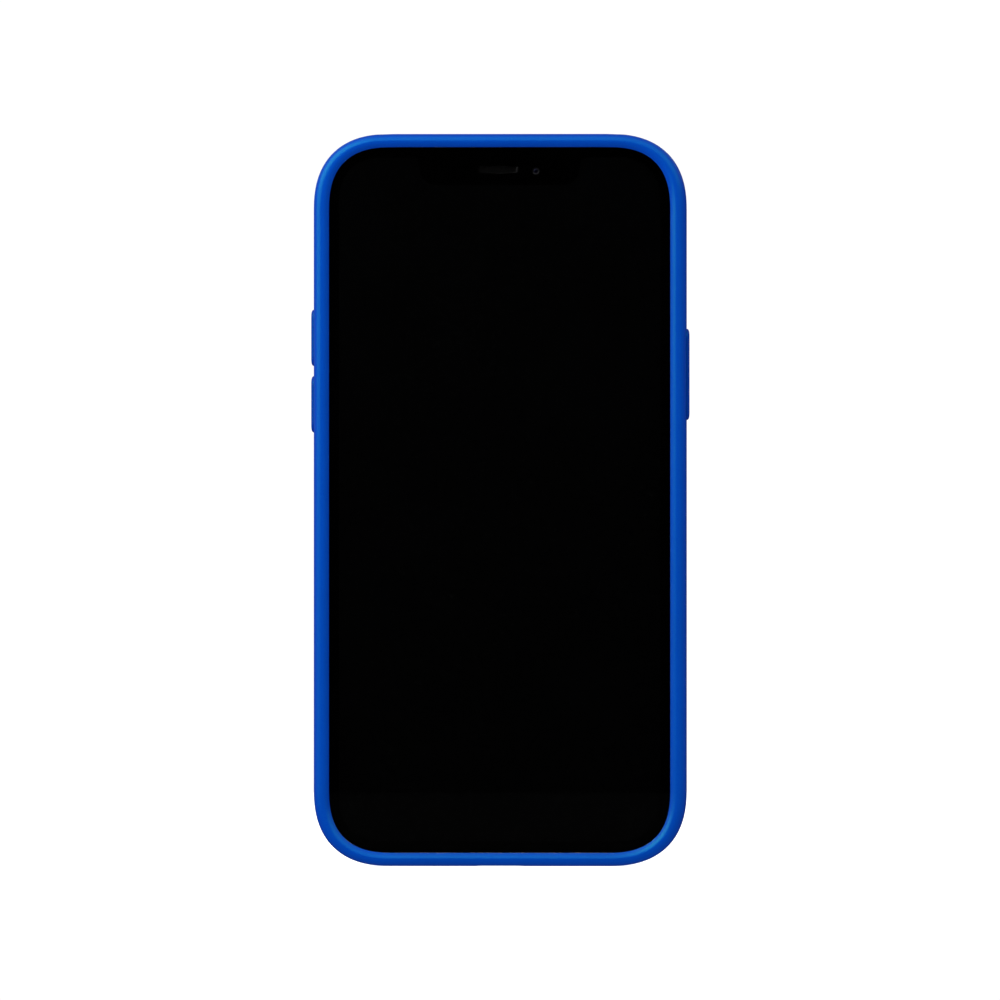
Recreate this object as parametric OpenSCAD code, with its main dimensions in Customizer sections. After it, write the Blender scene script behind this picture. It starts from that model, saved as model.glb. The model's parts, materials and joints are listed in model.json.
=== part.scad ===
// Smartphone in a soft silicone case. Every piece is drawn lying face up, with x across,
// y along the phone from its lower end, and z towards the screen. upright() then stands
// the piece on its lower end with the screen towards -Y.

/* [Case] */
// Width over the case's side walls
case_w = 82.4; // [81.6:0.1:83.2]
// Height over the case's two ends
case_h = 162; // [161:0.1:163]
// Radius of the case's four corners, seen from the front
case_r = 15; // [14.6:0.1:15.4]
// Thickness of the case's side walls
side_wall = 2.1; // [2:0.05:2.2]
// Thickness of the case's back
back_wall = 1.7; // [1.5:0.1:1.9]
// How far the lip stands in front of the glass
lip_rise = 1; // [0.8:0.1:1.2]
// Width of the lip at the sides, from the case's side to the opening
lip_w = 3.39; // [3.3:0.01:3.45]
// Width of the lip at the two ends
lip_end_w = 2.91; // [2.85:0.01:3]
// How far each button cover stands out of the case
cover_rise = 0.7; // [0.5:0.1:0.9]

/* [Phone body] */
// Thickness of the phone without its camera
phone_t = 7.4; // [7.4:0.1:7.8]
// Thickness of the metal frame's wall
band_wall = 2; // [1.9:0.05:2.1]
// Thickness of the front glass
glass_t = 0.7; // [0.6:0.05:0.8]
// Thickness of the back glass
back_glass_t = 0.6; // [0.5:0.05:0.6]

/* [Display] */
// Width of the lit area
display_w = 71.1; // [70:0.1:72]
// Height of the lit area
display_h = 151.3; // [150:0.1:152]
// Radius of the lit area's corners
display_r = 9.8; // [9:0.1:10]
// Width of the notch
notch_w = 35.6; // [34.6:0.1:36.6]
// Depth of the notch below the lit area's upper edge
notch_h = 6.1; // [6:0.1:6.3]

/* [Side buttons] */
// Height of the volume up button's middle above the lower end
volume_up_y = 116.9; // [116.5:0.1:118]
// Height of the volume down button's middle above the lower end
volume_down_y = 102.2; // [101:0.1:102.6]
// Height of the side button's middle above the lower end
side_button_y = 108.8; // [106:0.1:112]
// Height of the ring switch's middle above the lower end
ring_switch_y = 132; // [131:0.1:133]
// Length of a volume button's cover
volume_cover_l = 12.5; // [12:0.1:13]
// Length of the side button's cover
side_cover_l = 20.2; // [19:0.1:21]
// How far a button goes in
button_travel = 0.25; // [0.2:0.01:0.3]

/* [Rear cameras] */
// Width of the raised camera island
island_w = 25; // [24.6:0.1:25.4]
// Height of the raised camera island
island_h = 48; // [47.6:0.1:48.4]
// Distance between neighbouring lenses
lens_pitch = 15.2; // [15:0.1:15.4]
// Outer diameter of a lens ring
ring_d = 12.6; // [12:0.1:13]
// Diameter of a moving lens barrel
barrel_d = 7.8; // [7.4:0.1:8]

/* [Charging port] */
// Width of the port's mouth
port_w = 8.34; // [8.34:0.01:8.4]
// Height of the port's mouth
port_t = 2.56; // [2.56:0.01:2.6]
// Depth of the port from the frame's outer face
port_depth = 9; // [8:0.1:9.4]

/* [Hidden] */
$fn = 48;
fit_gap = 0.05;      // between the phone and its case
run_gap = 0.1;       // round a piece that slides in a hole
lining_t = 0.3;      // soft lining inside the case's back

lip_edge = 1.4;      // radius of the lip's outer edge
lip_bead = 0.9;      // radius of the lip's inner edge
opening_r = 11.8;    // corner radius of the opening in front of the glass

// Levels through the thickness, from the screen side to the back
case_t = lip_rise + phone_t + lining_t + back_wall;
z_lip = case_t / 2;
z_glass = z_lip - lip_rise;
z_panel = z_glass - glass_t;
z_display_frame = z_panel - 0.8;
z_inside_top = z_display_frame - 0.3;
z_back = z_glass - phone_t;
z_back_glass = z_back + back_glass_t;
z_coil = z_back_glass + 0.2;
z_midplate = z_coil + 0.1;
z_inside_low = z_midplate + 0.4;
z_lining = z_back - lining_t;
z_button = (z_glass + z_back) / 2;
z_port = z_button;
z_board = z_inside_low + 0.8;
z_board_top = z_board + 0.7;
z_island = z_back - 1.2;
z_ring = z_island - 0.6;

// Outlines, each given by its width, height and corner radius
body_w = case_w - 2 * (side_wall + fit_gap);
body_h = case_h - 2 * (side_wall + fit_gap);
body_r = case_r - side_wall - fit_gap;
inner_w = body_w - 2 * band_wall;
inner_h = body_h - 2 * band_wall;
inner_r = body_r - band_wall;
glass_rim = 0.6;
glass_w = body_w - 2 * glass_rim;
glass_h = body_h - 2 * glass_rim;
glass_r = body_r - glass_rim;
middle_y = case_h / 2;
body_low = (case_h - body_h) / 2;
inner_low = body_low + band_wall;

// Display and notch
display_low = 5.5;
display_y = display_low + display_h / 2;
panel_edge = 0.8;
notch_low = display_low + display_h - notch_h;
notch_r = 4;
earpiece_x = -0.3;
earpiece_y = 154.1;
earpiece_l = 9.2;
earpiece_d = 1.46;
front_lens_x = 8;
front_lens_y = 153.8;

// Buttons
button_w = 2.6;
volume_l = volume_cover_l - 1;
side_l = side_cover_l - 1.2;
cover_w = 3.6;
head_rise = 0.5;
flange_t = 0.5;
x_band = body_w / 2;
x_inside = inner_w / 2;
x_dome = x_inside - 0.25;
x_flex = x_dome - 0.35;
VOLUME_Y = [volume_up_y, volume_down_y];

// Rear cameras
island_x = 22;
island_y = 131.7;
island_r = 7;
lens_x = island_x + 4.8;
LENS_Y = [island_y + lens_pitch, island_y, island_y - lens_pitch];
window_d = 9.2;
window_t = 0.7;
second_x = island_x - 7.4;
flash_y = LENS_Y[0];
microphone_y = LENS_Y[1];
housing_w = 12.4;
z_module_top = z_inside_top - 0.5;
z_module_low = z_back_glass + 0.05;
z_barrel = z_back - 0.15;

// Lower end
screw_x = 7.6;
sound_x = 18.5;
sound_pitch = 2.7;
sound_d = 1.6;
SOUND = [-2.5 : 1 : 2.5];

// Inside
board_x = -x_inside + 1.1;
board_split = -12;
board_low = 52;
board_arm = 126;
board_top = 147.5;
board_end = 8.8;
battery_low = 25;
battery_top = 99.5;
battery_foot = 49.5;
battery_left = -9.4;
battery_right = 36;
z_battery = z_inside_low + 0.2;
z_battery_top = z_inside_top - 0.3;
BOARD_SCREWS = [[-33.6, 54.6], [-14.3, 54.6], [-33.4, 145], [6.3, 145], [-14.3, 123.5]];
screw_d = 1.4;
coil_y = 80;
haptic_x = -22;
haptic_y = 12.4;
haptic_l = 22;
haptic_w = 9;
haptic_wall = 0.3;
haptic_mass_l = 17;
speaker_x = 21.5;
speaker_y = 13.6;
speaker_l = 25;
speaker_w = 14.4;
diaphragm_l = 17;
diaphragm_w = 9;
z_diaphragm = 0.6;
sim_y = 78;
sim_l = 16.4;
sim_t = 2;
z_sim = 0.6;

// ---- Shared shapes ----

// Stands a piece up on its lower end with the screen towards -Y
module upright() {
    rotate([90, 0, 0])
        children();
}

module round_rect(w, h, r) {
    square([w, h - 2 * r], center = true);
    square([w - 2 * r, h], center = true);
    for (x = [-1, 1], y = [-1, 1])
        translate([x * (w / 2 - r), y * (h / 2 - r)])
            circle(r);
}

// A long hole's outline, its length along x
module slot_shape(length, width) {
    square([length - width, width], center = true);
    for (x = [-1, 1])
        translate([x * (length - width) / 2, 0])
            circle(d = width);
}

// A flat layer between two heights, drawn about a middle
module layer(low, high, x = 0, y = 0) {
    translate([x, y, low])
        linear_extrude(high - low)
            children();
}

// A box given by its two corners
module box(low, high) {
    translate(low)
        cube(high - low);
}

// A shape pushed out of the left (-1) or right (1) side, between two distances from the
// middle plane. The shape's y runs along the phone.
module from_side(side, y, near, far, z = z_button) {
    translate([side * near, y, z])
        rotate([0, side * 90, 0])
            linear_extrude(far - near)
                children();
}

module side_slot(side, y, near, far, length, width) {
    from_side(side, y, near, far)
        rotate(90)
            slot_shape(length, width);
}

// A shape in the x-z plane pushed along the phone between two heights
module along(x, z, low, high) {
    translate([x, high, z])
        rotate([90, 0, 0])
            linear_extrude(high - low)
                children();
}

// Sweeps a profile round a rounded rectangle. The profile's x runs outwards from the
// corner centres, so that x = r lies on the outline.
module rounded_loop(w, h, r) {
    for (turn = [0 : 3]) {
        long_side = turn % 2 == 0;
        across = (long_side ? w : h) / 2 - r;
        run = (long_side ? h : w) - 2 * r;
        translate([0, middle_y, 0])
            rotate(90 * turn)
                translate([across, run / 2, 0]) {
                    rotate([90, 0, 0])
                        linear_extrude(run)
                            children();
                    rotate_extrude(angle = 90)
                        children();
                }
    }
}

// ---- Case ----

// Half cross-section of the case's outside, with round edges at the back and the front
module case_profile() {
    back_edge = 3;
    translate([0, -z_lip])
        square([case_r - back_edge, case_t - lip_edge]);
    translate([0, z_lip - lip_edge])
        square([case_r - lip_edge, lip_edge]);
    translate([case_r - back_edge, -z_lip + back_edge])
        square([back_edge, case_t - back_edge - lip_edge]);
    translate([case_r - back_edge, -z_lip + back_edge])
        circle(back_edge);
    translate([case_r - lip_edge, z_lip - lip_edge])
        circle(lip_edge);
}

// What is cut from the lip to round its inner edge
module bead_profile() {
    spare = 0.2;
    difference() {
        translate([opening_r - spare, z_lip - lip_bead])
            square([lip_bead + spare, lip_bead + spare]);
        translate([opening_r + lip_bead, z_lip - lip_bead])
            circle(lip_bead);
    }
}

module cover_opening(side, y, length) {
    inner = case_w / 2 - side_wall;
    side_slot(side, y, inner - 1, case_w / 2 + 1, length + 0.4, cover_w + 0.4);
    side_slot(side, y, inner - 1, inner + 1, length + 1.6, cover_w + 2);
}

module case_shell() {
    color("royalblue")
        difference() {
            union() {
                rounded_loop(case_w, case_h, case_r)
                    case_profile();
                layer(-z_lip, z_lip, 0, middle_y)
                    square([case_w - 2 * case_r, case_h - 2 * case_r], center = true);
            }
            layer(z_lining, z_glass, 0, middle_y)
                round_rect(case_w - 2 * side_wall, case_h - 2 * side_wall, case_r - side_wall);
            layer(z_glass - 1, z_lip + 1, 0, middle_y)
                round_rect(case_w - 2 * lip_w, case_h - 2 * lip_end_w, opening_r);
            rounded_loop(case_w - 2 * lip_w, case_h - 2 * lip_end_w, opening_r)
                bead_profile();
            for (y = VOLUME_Y)
                cover_opening(-1, y, volume_cover_l);
            cover_opening(1, side_button_y, side_cover_l);
            from_side(-1, ring_switch_y, x_inside, case_w)
                rotate(90)
                    slot_shape(9, 4.8);
            along(0, z_port, -1, 4)
                round_rect(13, 6.2, 2.6);
            for (x = [-sound_x, sound_x])
                along(x, z_port, -1, 4)
                    slot_shape(16, 3.2);
            layer(-z_lip - 1, z_lining + 1, island_x, island_y)
                round_rect(island_w + 0.8, island_h + 0.8, island_r + 0.4);
        }
}

module case_lining() {
    color("slateblue")
        layer(z_lining, z_back, 0, middle_y)
            difference() {
                round_rect(body_w - 5, body_h - 5, body_r - 2.5);
                translate([island_x, island_y - middle_y])
                    round_rect(island_w + 1.4, island_h + 1.4, island_r + 0.7);
            }
}

// The cover's block runs in the case wall, and its flange behind the wall holds it in
module button_cover(side, y, length) {
    flange_x = x_band + head_rise;
    color("mediumblue") {
        side_slot(side, y, flange_x, flange_x + flange_t, length + 1, cover_w + 1.4);
        side_slot(side, y, flange_x + flange_t, case_w / 2 + cover_rise - 0.3, length, cover_w);
        side_slot(side, y, case_w / 2 + cover_rise - 0.3, case_w / 2 + cover_rise,
            length - 0.8, cover_w - 0.8);
    }
}

module volume_up_cover() {
    button_cover(-1, volume_up_y, volume_cover_l);
}

module volume_down_cover() {
    button_cover(-1, volume_down_y, volume_cover_l);
}

module side_button_cover() {
    button_cover(1, side_button_y, side_cover_l);
}

// ---- Housing ----

// Cross-section of the metal band, with a seat for each glass
module band_profile() {
    inside = body_r - band_wall;
    seat = body_r - glass_rim + fit_gap;
    edge = 0.35;
    rim_top = z_glass - 0.3;
    rim_low = z_back + 0.2;
    polygon([
        [inside, z_back_glass], [seat, z_back_glass], [seat, rim_low],
        [body_r - edge, rim_low], [body_r, rim_low + edge], [body_r, rim_top - edge],
        [body_r - edge, rim_top], [seat, rim_top], [seat, z_panel - 0.2],
        [inside, z_panel - 0.2]
    ]);
}

module band_button_hole(side, y, length) {
    side_slot(side, y, x_inside - 1, x_band + 1, length + 2 * run_gap, button_w + 2 * run_gap);
    side_slot(side, y, x_inside - 1, x_inside + 0.97, length + 1.8, button_w + 1.4);
}

// Narrow bands that let radio waves out: two on each long side and two on each end
module break_slots() {
    width = 0.9;
    depth = 1.1;
    for (side = [-1, 1], y = [19, case_h - 19])
        from_side(side, y, x_band - depth, x_band + 1)
            square([phone_t + 2, width], center = true);
    for (x = [-24.5, 24.5])
        box([x - width / 2, body_low + body_h - depth, z_back - 1],
            [x + width / 2, case_h, z_glass + 1]);
}

module band_body() {
    rounded_loop(body_w, body_h, body_r)
        band_profile();
}

module frame_band() {
    color("lightsteelblue")
        difference() {
            band_body();
            break_slots();
            for (y = VOLUME_Y)
                band_button_hole(-1, y, volume_l);
            band_button_hole(1, side_button_y, side_l);
            side_slot(-1, ring_switch_y, x_inside - 1, x_band + 1, 4.8, 2);
            side_slot(-1, ring_switch_y, x_inside - 1, x_inside + 0.95, 8.6, 3.4);
            from_side(-1, sim_y, x_inside - 1, x_band + 1, z_sim)
                rotate(90)
                    slot_shape(sim_l + 2 * fit_gap, sim_t + 2 * fit_gap);
            along(0, z_port, body_low - 1, inner_low + 1)
                slot_shape(port_w, port_t);
            for (side = [-1, 1]) {
                along(side * screw_x, z_port, body_low - 1, inner_low + 1)
                    circle(d = screw_d);
                along(side * screw_x, z_port, body_low - 1, body_low + 0.9)
                    circle(d = 2);
                for (i = SOUND)
                    along(side * sound_x + i * sound_pitch, z_port, body_low - 1, inner_low + 1)
                        circle(d = sound_d);
            }
        }
}

module antenna_breaks() {
    color("slategray")
        intersection() {
            band_body();
            break_slots();
        }
}

module midplate() {
    color("gainsboro")
        difference() {
            union() {
                layer(z_midplate, z_inside_low, 0, middle_y)
                    round_rect(inner_w, inner_h, inner_r);
                for (p = BOARD_SCREWS)
                    layer(z_inside_low, z_board, p[0], p[1])
                        circle(d = 3);
            }
            layer(z_midplate - 1, z_inside_low + 1, island_x, island_y)
                round_rect(island_w - 1.4, island_h - 1.4, 1.5);
            for (p = BOARD_SCREWS)
                layer(z_midplate - 1, z_board + 1, p[0], p[1])
                    circle(d = screw_d);
            for (y = [34, 43])
                layer(z_midplate - 1, z_inside_low + 1, -24, y)
                    slot_shape(14, 4);
        }
}

module front_glass() {
    edge = 0.25;
    color("black")
        difference() {
            union() {
                layer(z_panel, z_glass - edge, 0, middle_y)
                    round_rect(glass_w, glass_h, glass_r);
                layer(z_glass - edge, z_glass, 0, middle_y)
                    round_rect(glass_w - 2 * edge, glass_h - 2 * edge, glass_r - edge);
            }
            layer(z_panel - 1, z_glass + 1, earpiece_x, earpiece_y)
                slot_shape(earpiece_l, earpiece_d);
        }
}

module display_seal() {
    color("dimgray")
        layer(z_panel - 0.2, z_panel, 0, middle_y)
            difference() {
                round_rect(glass_w - 0.3, glass_h - 0.3, glass_r - 0.15);
                round_rect(inner_w + 0.2, inner_h + 0.2, inner_r + 0.1);
            }
}

module back_glass() {
    edge = 0.25;
    color("lightsteelblue")
        difference() {
            union() {
                layer(z_back + edge, z_back_glass, 0, middle_y)
                    round_rect(glass_w, glass_h, glass_r);
                layer(z_back, z_back + edge, 0, middle_y)
                    round_rect(glass_w - 2 * edge, glass_h - 2 * edge, glass_r - edge);
            }
            layer(z_back - 1, z_back_glass + 1, island_x, island_y)
                round_rect(island_w - 3, island_h - 3, island_r - 1.5);
        }
}

// ---- Display ----

// Outline of the display with its notch; grow widens the outline and the notch together
module display_shape(grow, notch_grow) {
    above = 5;
    difference() {
        translate([0, display_y])
            round_rect(display_w + 2 * grow, display_h + 2 * grow, display_r + grow);
        translate([0, notch_low + notch_h + above])
            round_rect(notch_w + 2 * notch_grow, 2 * (notch_h + above + notch_grow), notch_r);
    }
}

module display_panel() {
    color("midnightblue")
        layer(z_display_frame, z_panel)
            display_shape(panel_edge - 0.1, -0.2);
}

module display_frame() {
    color("silver")
        difference() {
            layer(z_inside_top, z_display_frame)
                display_shape(panel_edge, 0.2);
            for (y = [8.4, 148.3])
                layer(z_inside_top - 1, z_display_frame + 1, -26, y)
                    slot_shape(9, 1.2);
            layer(z_inside_top - 1, z_display_frame + 1, 4, 122)
                square([9.4, 1.6], center = true);
        }
}

// Ribbon from the display's back down to its socket on the board
module display_flex() {
    width = 8.6;
    x = 4 - width / 2;
    color("darkgoldenrod") {
        box([x, 121.6, z_inside_top - 0.15], [x + width, 142, z_inside_top]);
        box([x, 121.6, z_inside_top], [x + width, 121.75, z_display_frame]);
        box([x, 141.85, z_board_top + 1], [x + width, 142, z_inside_top - 0.15]);
        box([x, 139.4, z_board_top + 0.85], [x + width, 142, z_board_top + 1]);
        box([x + 0.6, 139.4, z_board_top], [board_end - 0.6, 141.8, z_board_top + 0.85]);
    }
}

module earpiece_mesh() {
    color("dimgray")
        difference() {
            layer(z_panel - 0.3, z_panel + 0.15, earpiece_x, earpiece_y)
                slot_shape(earpiece_l, earpiece_d);
            for (i = [-10 : 10], row = [-1, 1])
                layer(z_panel - 1, z_panel + 1, earpiece_x + 0.4 * i, earpiece_y + 0.25 * row)
                    circle(d = 0.22);
        }
}

// ---- Side controls ----

module metal_button(side, y, length) {
    head = x_band + head_rise;
    color("lightsteelblue") {
        side_slot(side, y, x_inside + 0.95, head, length, button_w);
        side_slot(side, y, x_inside + 0.45, x_inside + 0.95, length + 1.2, button_w + 0.8);
        from_side(side, y, x_dome + button_travel + 0.05, x_inside + 0.45)
            circle(d = 1.4);
    }
}

module volume_up_button() {
    metal_button(-1, volume_up_y, volume_l);
}

module volume_down_button() {
    metal_button(-1, volume_down_y, volume_l);
}

module side_button() {
    metal_button(1, side_button_y, side_l);
}

// The lever's knob slides in the band's slot, just below the band's face, and its flange
// hides the slot's ends
module ring_switch_lever() {
    half_travel = 0.7;
    knob_drop = 0.1;
    rest = ring_switch_y - half_travel;
    color("lightsteelblue") {
        side_slot(-1, rest, x_inside + 0.9, x_band - knob_drop, 3.2, 1.8);
        side_slot(-1, rest, x_inside + 0.5, x_inside + 0.9, 6.8, 3);
        from_side(-1, rest, x_inside + 0.1, x_inside + 0.5)
            square([1.2, 1.6], center = true);
    }
}

module ring_switch_base() {
    color("darkslategray")
        difference() {
            from_side(-1, ring_switch_y, x_flex, x_inside + 0.4)
                rotate(90)
                    slot_shape(8.2, 3);
            from_side(-1, ring_switch_y, x_inside - 0.1, x_inside + 1)
                square([1.6, 3.6], center = true);
        }
}

module button_domes() {
    color("silver") {
        for (y = VOLUME_Y)
            dome_switch(-1, y);
        dome_switch(1, side_button_y);
    }
}

module dome_switch(side, y) {
    from_side(side, y, x_flex, x_dome - 0.1)
        circle(d = 3.2);
    from_side(side, y, x_dome - 0.1, x_dome)
        circle(d = 1.7);
}

module button_flex() {
    thick = 0.2;
    color("darkgoldenrod") {
        from_side(-1, 0, x_flex - thick, x_flex)
            translate([-1.6, 94])
                square([3.2, 43]);
        box([-x_flex, 128, z_board_top], [board_x + 3.4, 131, z_board_top + thick]);
        box([-x_flex, 128, z_board_top + thick], [-x_flex + thick, 131, z_button]);
        from_side(1, side_button_y, x_flex - thick, x_flex)
            square([3.2, 12], center = true);
    }
}

// ---- Rear cameras ----

module camera_island() {
    edge = 0.3;
    color("lightsteelblue")
        difference() {
            union() {
                layer(z_island + edge, z_back, island_x, island_y)
                    round_rect(island_w, island_h, island_r);
                layer(z_island, z_island + edge, island_x, island_y)
                    round_rect(island_w - 2 * edge, island_h - 2 * edge, island_r - edge);
            }
            for (y = LENS_Y)
                layer(z_island - 1, z_back + 1, lens_x, y)
                    circle(d = window_d);
            layer(z_island - 1, z_back + 1, second_x, flash_y)
                circle(d = 5.2);
            layer(z_island - 1, z_back + 1, second_x, microphone_y)
                circle(d = 1.1);
        }
}

module lens_rings() {
    bore = window_d - 1;
    color("silver")
        for (y = LENS_Y)
            translate([lens_x, y, 0])
                rotate_extrude()
                    polygon([
                        [bore / 2, z_island], [ring_d / 2, z_island],
                        [ring_d / 2, z_ring + 0.2], [ring_d / 2 - 0.2, z_ring],
                        [bore / 2 + 0.5, z_ring], [bore / 2, z_ring + 0.4]
                    ]);
}

module lens_covers() {
    color("black")
        for (y = LENS_Y)
            layer(z_island, z_island + window_t, lens_x, y)
                circle(d = window_d);
}

// Square housing with a round bore that is open towards the back
module lens_housing(y, bore) {
    difference() {
        union() {
            layer(z_module_low, z_module_top - 0.6, lens_x, y)
                round_rect(housing_w, housing_w, 1);
            layer(z_module_top - 0.6, z_module_top, lens_x, y)
                round_rect(housing_w - 0.8, housing_w - 0.8, 0.6);
        }
        layer(z_module_low - 1, z_module_top - 0.9, lens_x, y)
            circle(d = bore);
    }
}

// Barrel with a recessed face and a domed first lens
module lens_barrel(y, depth) {
    face = 5.4;
    dome_r = 6;
    difference() {
        layer(z_barrel, z_barrel + depth, lens_x, y)
            circle(d = barrel_d);
        translate([lens_x, y, z_barrel - 0.01])
            cylinder(d1 = face + 1, d2 = face, h = 0.5);
    }
    intersection() {
        translate([lens_x, y, z_barrel + 0.15 + dome_r])
            sphere(dome_r);
        layer(z_barrel, z_barrel + 0.7, lens_x, y)
            circle(d = face);
    }
}

module wide_camera_housing() {
    color("dimgray")
        lens_housing(LENS_Y[0], barrel_d + 2 * run_gap);
}

module wide_lens_barrel() {
    color("black")
        lens_barrel(LENS_Y[0], 4);
}

module ultrawide_camera() {
    color("dimgray") {
        difference() {
            union() {
                layer(z_module_low, z_module_top, lens_x, LENS_Y[1])
                    round_rect(housing_w - 1.4, housing_w - 1.4, 1);
                layer(z_barrel, z_module_low, lens_x, LENS_Y[1])
                    circle(d = barrel_d - 0.6);
            }
            translate([lens_x, LENS_Y[1], z_barrel - 0.01])
                cylinder(d1 = 6, d2 = 3.6, h = 0.6);
        }
        translate([lens_x, LENS_Y[1], z_barrel + 0.35])
            cylinder(d1 = 2.4, d2 = 3.6, h = 0.3);
    }
}

module tele_camera_housing() {
    color("dimgray")
        lens_housing(LENS_Y[2], barrel_d + 2 * run_gap);
}

module tele_lens_barrel() {
    color("black")
        lens_barrel(LENS_Y[2], 3.4);
}

module camera_bracket() {
    plate = 0.25;
    low = LENS_Y[2] - housing_w / 2 - 0.3;
    high = LENS_Y[0] + housing_w / 2 + 0.3;
    left = lens_x - housing_w / 2 - 0.3;
    right = lens_x + housing_w / 2 + 0.3;
    color("silver")
        difference() {
            box([left - plate, low - plate, z_module_low + 0.5],
                [right + plate, high + plate, z_module_top + plate]);
            box([left, low, z_module_low - 1], [right, high, z_module_top]);
            for (y = LENS_Y)
                layer(z_module_top - 1, z_module_top + 1, lens_x, y)
                    round_rect(8, 8, 1.5);
        }
}

module flash_led() {
    color("gold") {
        layer(z_back + 0.2, z_back + 0.6, second_x, flash_y)
            round_rect(5.4, 5.4, 0.4);
        for (x = [-0.9, 0.9])
            layer(z_back - 0.2, z_back + 0.2, second_x + x, flash_y)
                square([1.5, 3], center = true);
    }
}

// Round window with fine rings on its inner face
module flash_lens() {
    color("lemonchiffon")
        difference() {
            layer(z_island, z_back - 0.3, second_x, flash_y)
                circle(d = 5.2);
            for (ring = [1 : 4])
                layer(z_back - 0.4, z_back, second_x, flash_y)
                    difference() {
                        circle(d = ring + 0.4);
                        circle(d = ring);
                    }
        }
}

module rear_microphone() {
    color("gold")
        difference() {
            layer(z_back, z_back + 1, second_x, microphone_y)
                round_rect(3.4, 2.6, 0.3);
            layer(z_back - 0.5, z_back + 0.4, second_x, microphone_y)
                circle(d = 0.6);
        }
}

// ---- Front sensors ----

z_sensor_top = z_panel - 0.15;
z_sensor_low = z_inside_low + 0.3;
sensor_y = 153.85;
sensor_h = 5.6;

module front_camera() {
    color("black") {
        layer(z_sensor_low, z_sensor_top - 0.6, front_lens_x, front_lens_y)
            round_rect(5.2, 5.2, 0.4);
        difference() {
            layer(z_sensor_top - 0.6, z_sensor_top, front_lens_x, front_lens_y)
                circle(d = 3.4);
            translate([front_lens_x, front_lens_y, z_sensor_top - 0.5])
                cylinder(d1 = 1.2, d2 = 1.9, h = 0.51);
        }
        intersection() {
            translate([front_lens_x, front_lens_y, z_sensor_top - 1.35])
                sphere(1.1);
            layer(z_sensor_top - 0.6, z_sensor_top, front_lens_x, front_lens_y)
                circle(d = 1.1);
        }
    }
}

module depth_sensors() {
    color("black") {
        layer(z_sensor_low, z_sensor_top - 0.5, -12, sensor_y)
            round_rect(5.2, 5.2, 0.4);
        layer(z_sensor_top - 0.5, z_sensor_top, -12, sensor_y)
            circle(d = 2.8);
        layer(z_sensor_low, z_sensor_top - 0.5, 12.8, sensor_y)
            round_rect(4, 5.2, 0.4);
        layer(z_sensor_top - 0.5, z_sensor_top, 12.8, sensor_y)
            round_rect(3, 2.4, 0.3);
    }
}

module sensor_bracket() {
    wall = 0.25;
    color("silver")
        difference() {
            layer(z_inside_low, z_inside_top - fit_gap, 0, sensor_y)
                round_rect(notch_w - 1.2, sensor_h + 2 * wall, 0.5);
            layer(z_sensor_low, z_display_frame + 1, 0, sensor_y)
                round_rect(notch_w - 1.2 - 2 * wall, sensor_h, 0.3);
        }
}

module earpiece_speaker() {
    color("dimgray")
        difference() {
            union() {
                layer(z_sensor_low, z_sensor_top - 0.8, -2.9, sensor_y)
                    round_rect(12.6, 5.4, 0.6);
                layer(z_sensor_top - 0.8, z_panel - 0.3, earpiece_x, earpiece_y)
                    slot_shape(earpiece_l + 0.6, earpiece_d + 0.6);
            }
            layer(z_sensor_low + 1.2, z_panel, earpiece_x, earpiece_y)
                slot_shape(earpiece_l - 0.4, earpiece_d - 0.4);
        }
}

// ---- Board and power ----

module board_shape() {
    difference() {
        union() {
            translate([board_x, board_low])
                square([board_split - board_x, board_top - board_low]);
            translate([board_x, board_arm])
                square([board_end - board_x, board_top - board_arm]);
        }
        translate([board_x, board_top])
            rotate(45)
                square(5, center = true);
    }
}

module logic_board() {
    color("darkgreen")
        difference() {
            layer(z_board, z_board_top)
                board_shape();
            for (p = BOARD_SCREWS)
                layer(z_board - 1, z_board_top + 1, p[0], p[1])
                    circle(d = screw_d + 0.4);
        }
}

// Each chip is its middle, its size and its height above the board
CHIPS = [
    [-24, 112, 15, 13, 0.9], [-25.5, 98.6, 11, 9, 0.7], [-30.6, 137.4, 7, 9, 0.7],
    [-21.6, 137.4, 9, 9, 0.8], [-12.8, 137.4, 6, 8, 0.6], [-29, 62.5, 8, 7, 0.7],
    [-19, 62, 6, 6, 0.6]
];

module board_chips() {
    color("black")
        for (c = CHIPS)
            layer(z_board_top, z_board_top + c[4], c[0], c[1])
                square([c[2], c[3]], center = true);
}

// Each shield is its middle and its outer size
SHIELDS = [[-24.3, 105.6, 19, 28.6], [-21.8, 137.4, 26.4, 12.4], [-24.4, 62.3, 19, 9]];

module board_shields() {
    wall = 0.15;
    height = 1.2;
    color("silver")
        for (s = SHIELDS)
            difference() {
                layer(z_board_top, z_board_top + height, s[0], s[1])
                    round_rect(s[2], s[3], 0.6);
                layer(z_board_top - 1, z_board_top + height - wall, s[0], s[1])
                    round_rect(s[2] - 2 * wall, s[3] - 2 * wall, 0.4);
            }
}

// Plate held over the display's socket by two posts
module connector_cover() {
    plate = 0.25;
    low = z_board_top + 1.2;
    POSTS = [-6.8, 6.6];
    color("silver")
        difference() {
            union() {
                layer(low, low + plate, 0, 138)
                    round_rect(16, 7, 0.8);
                for (x = POSTS)
                    layer(z_board_top, low, x, 136)
                        circle(d = 2.2);
            }
            for (x = POSTS)
                layer(z_board_top - 1, low + 1, x, 136)
                    circle(d = 1.2);
        }
}

module battery() {
    round = 1.5;
    color("dimgray") {
        layer(z_battery, z_battery_top, (battery_left + battery_right) / 2,
            (battery_low + battery_top) / 2)
            round_rect(battery_right - battery_left, battery_top - battery_low, round);
        layer(z_battery, z_battery_top, (board_x + battery_left + 2 * round) / 2,
            (battery_low + battery_foot) / 2)
            round_rect(battery_left + 2 * round - board_x, battery_foot - battery_low, round);
    }
}

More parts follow.
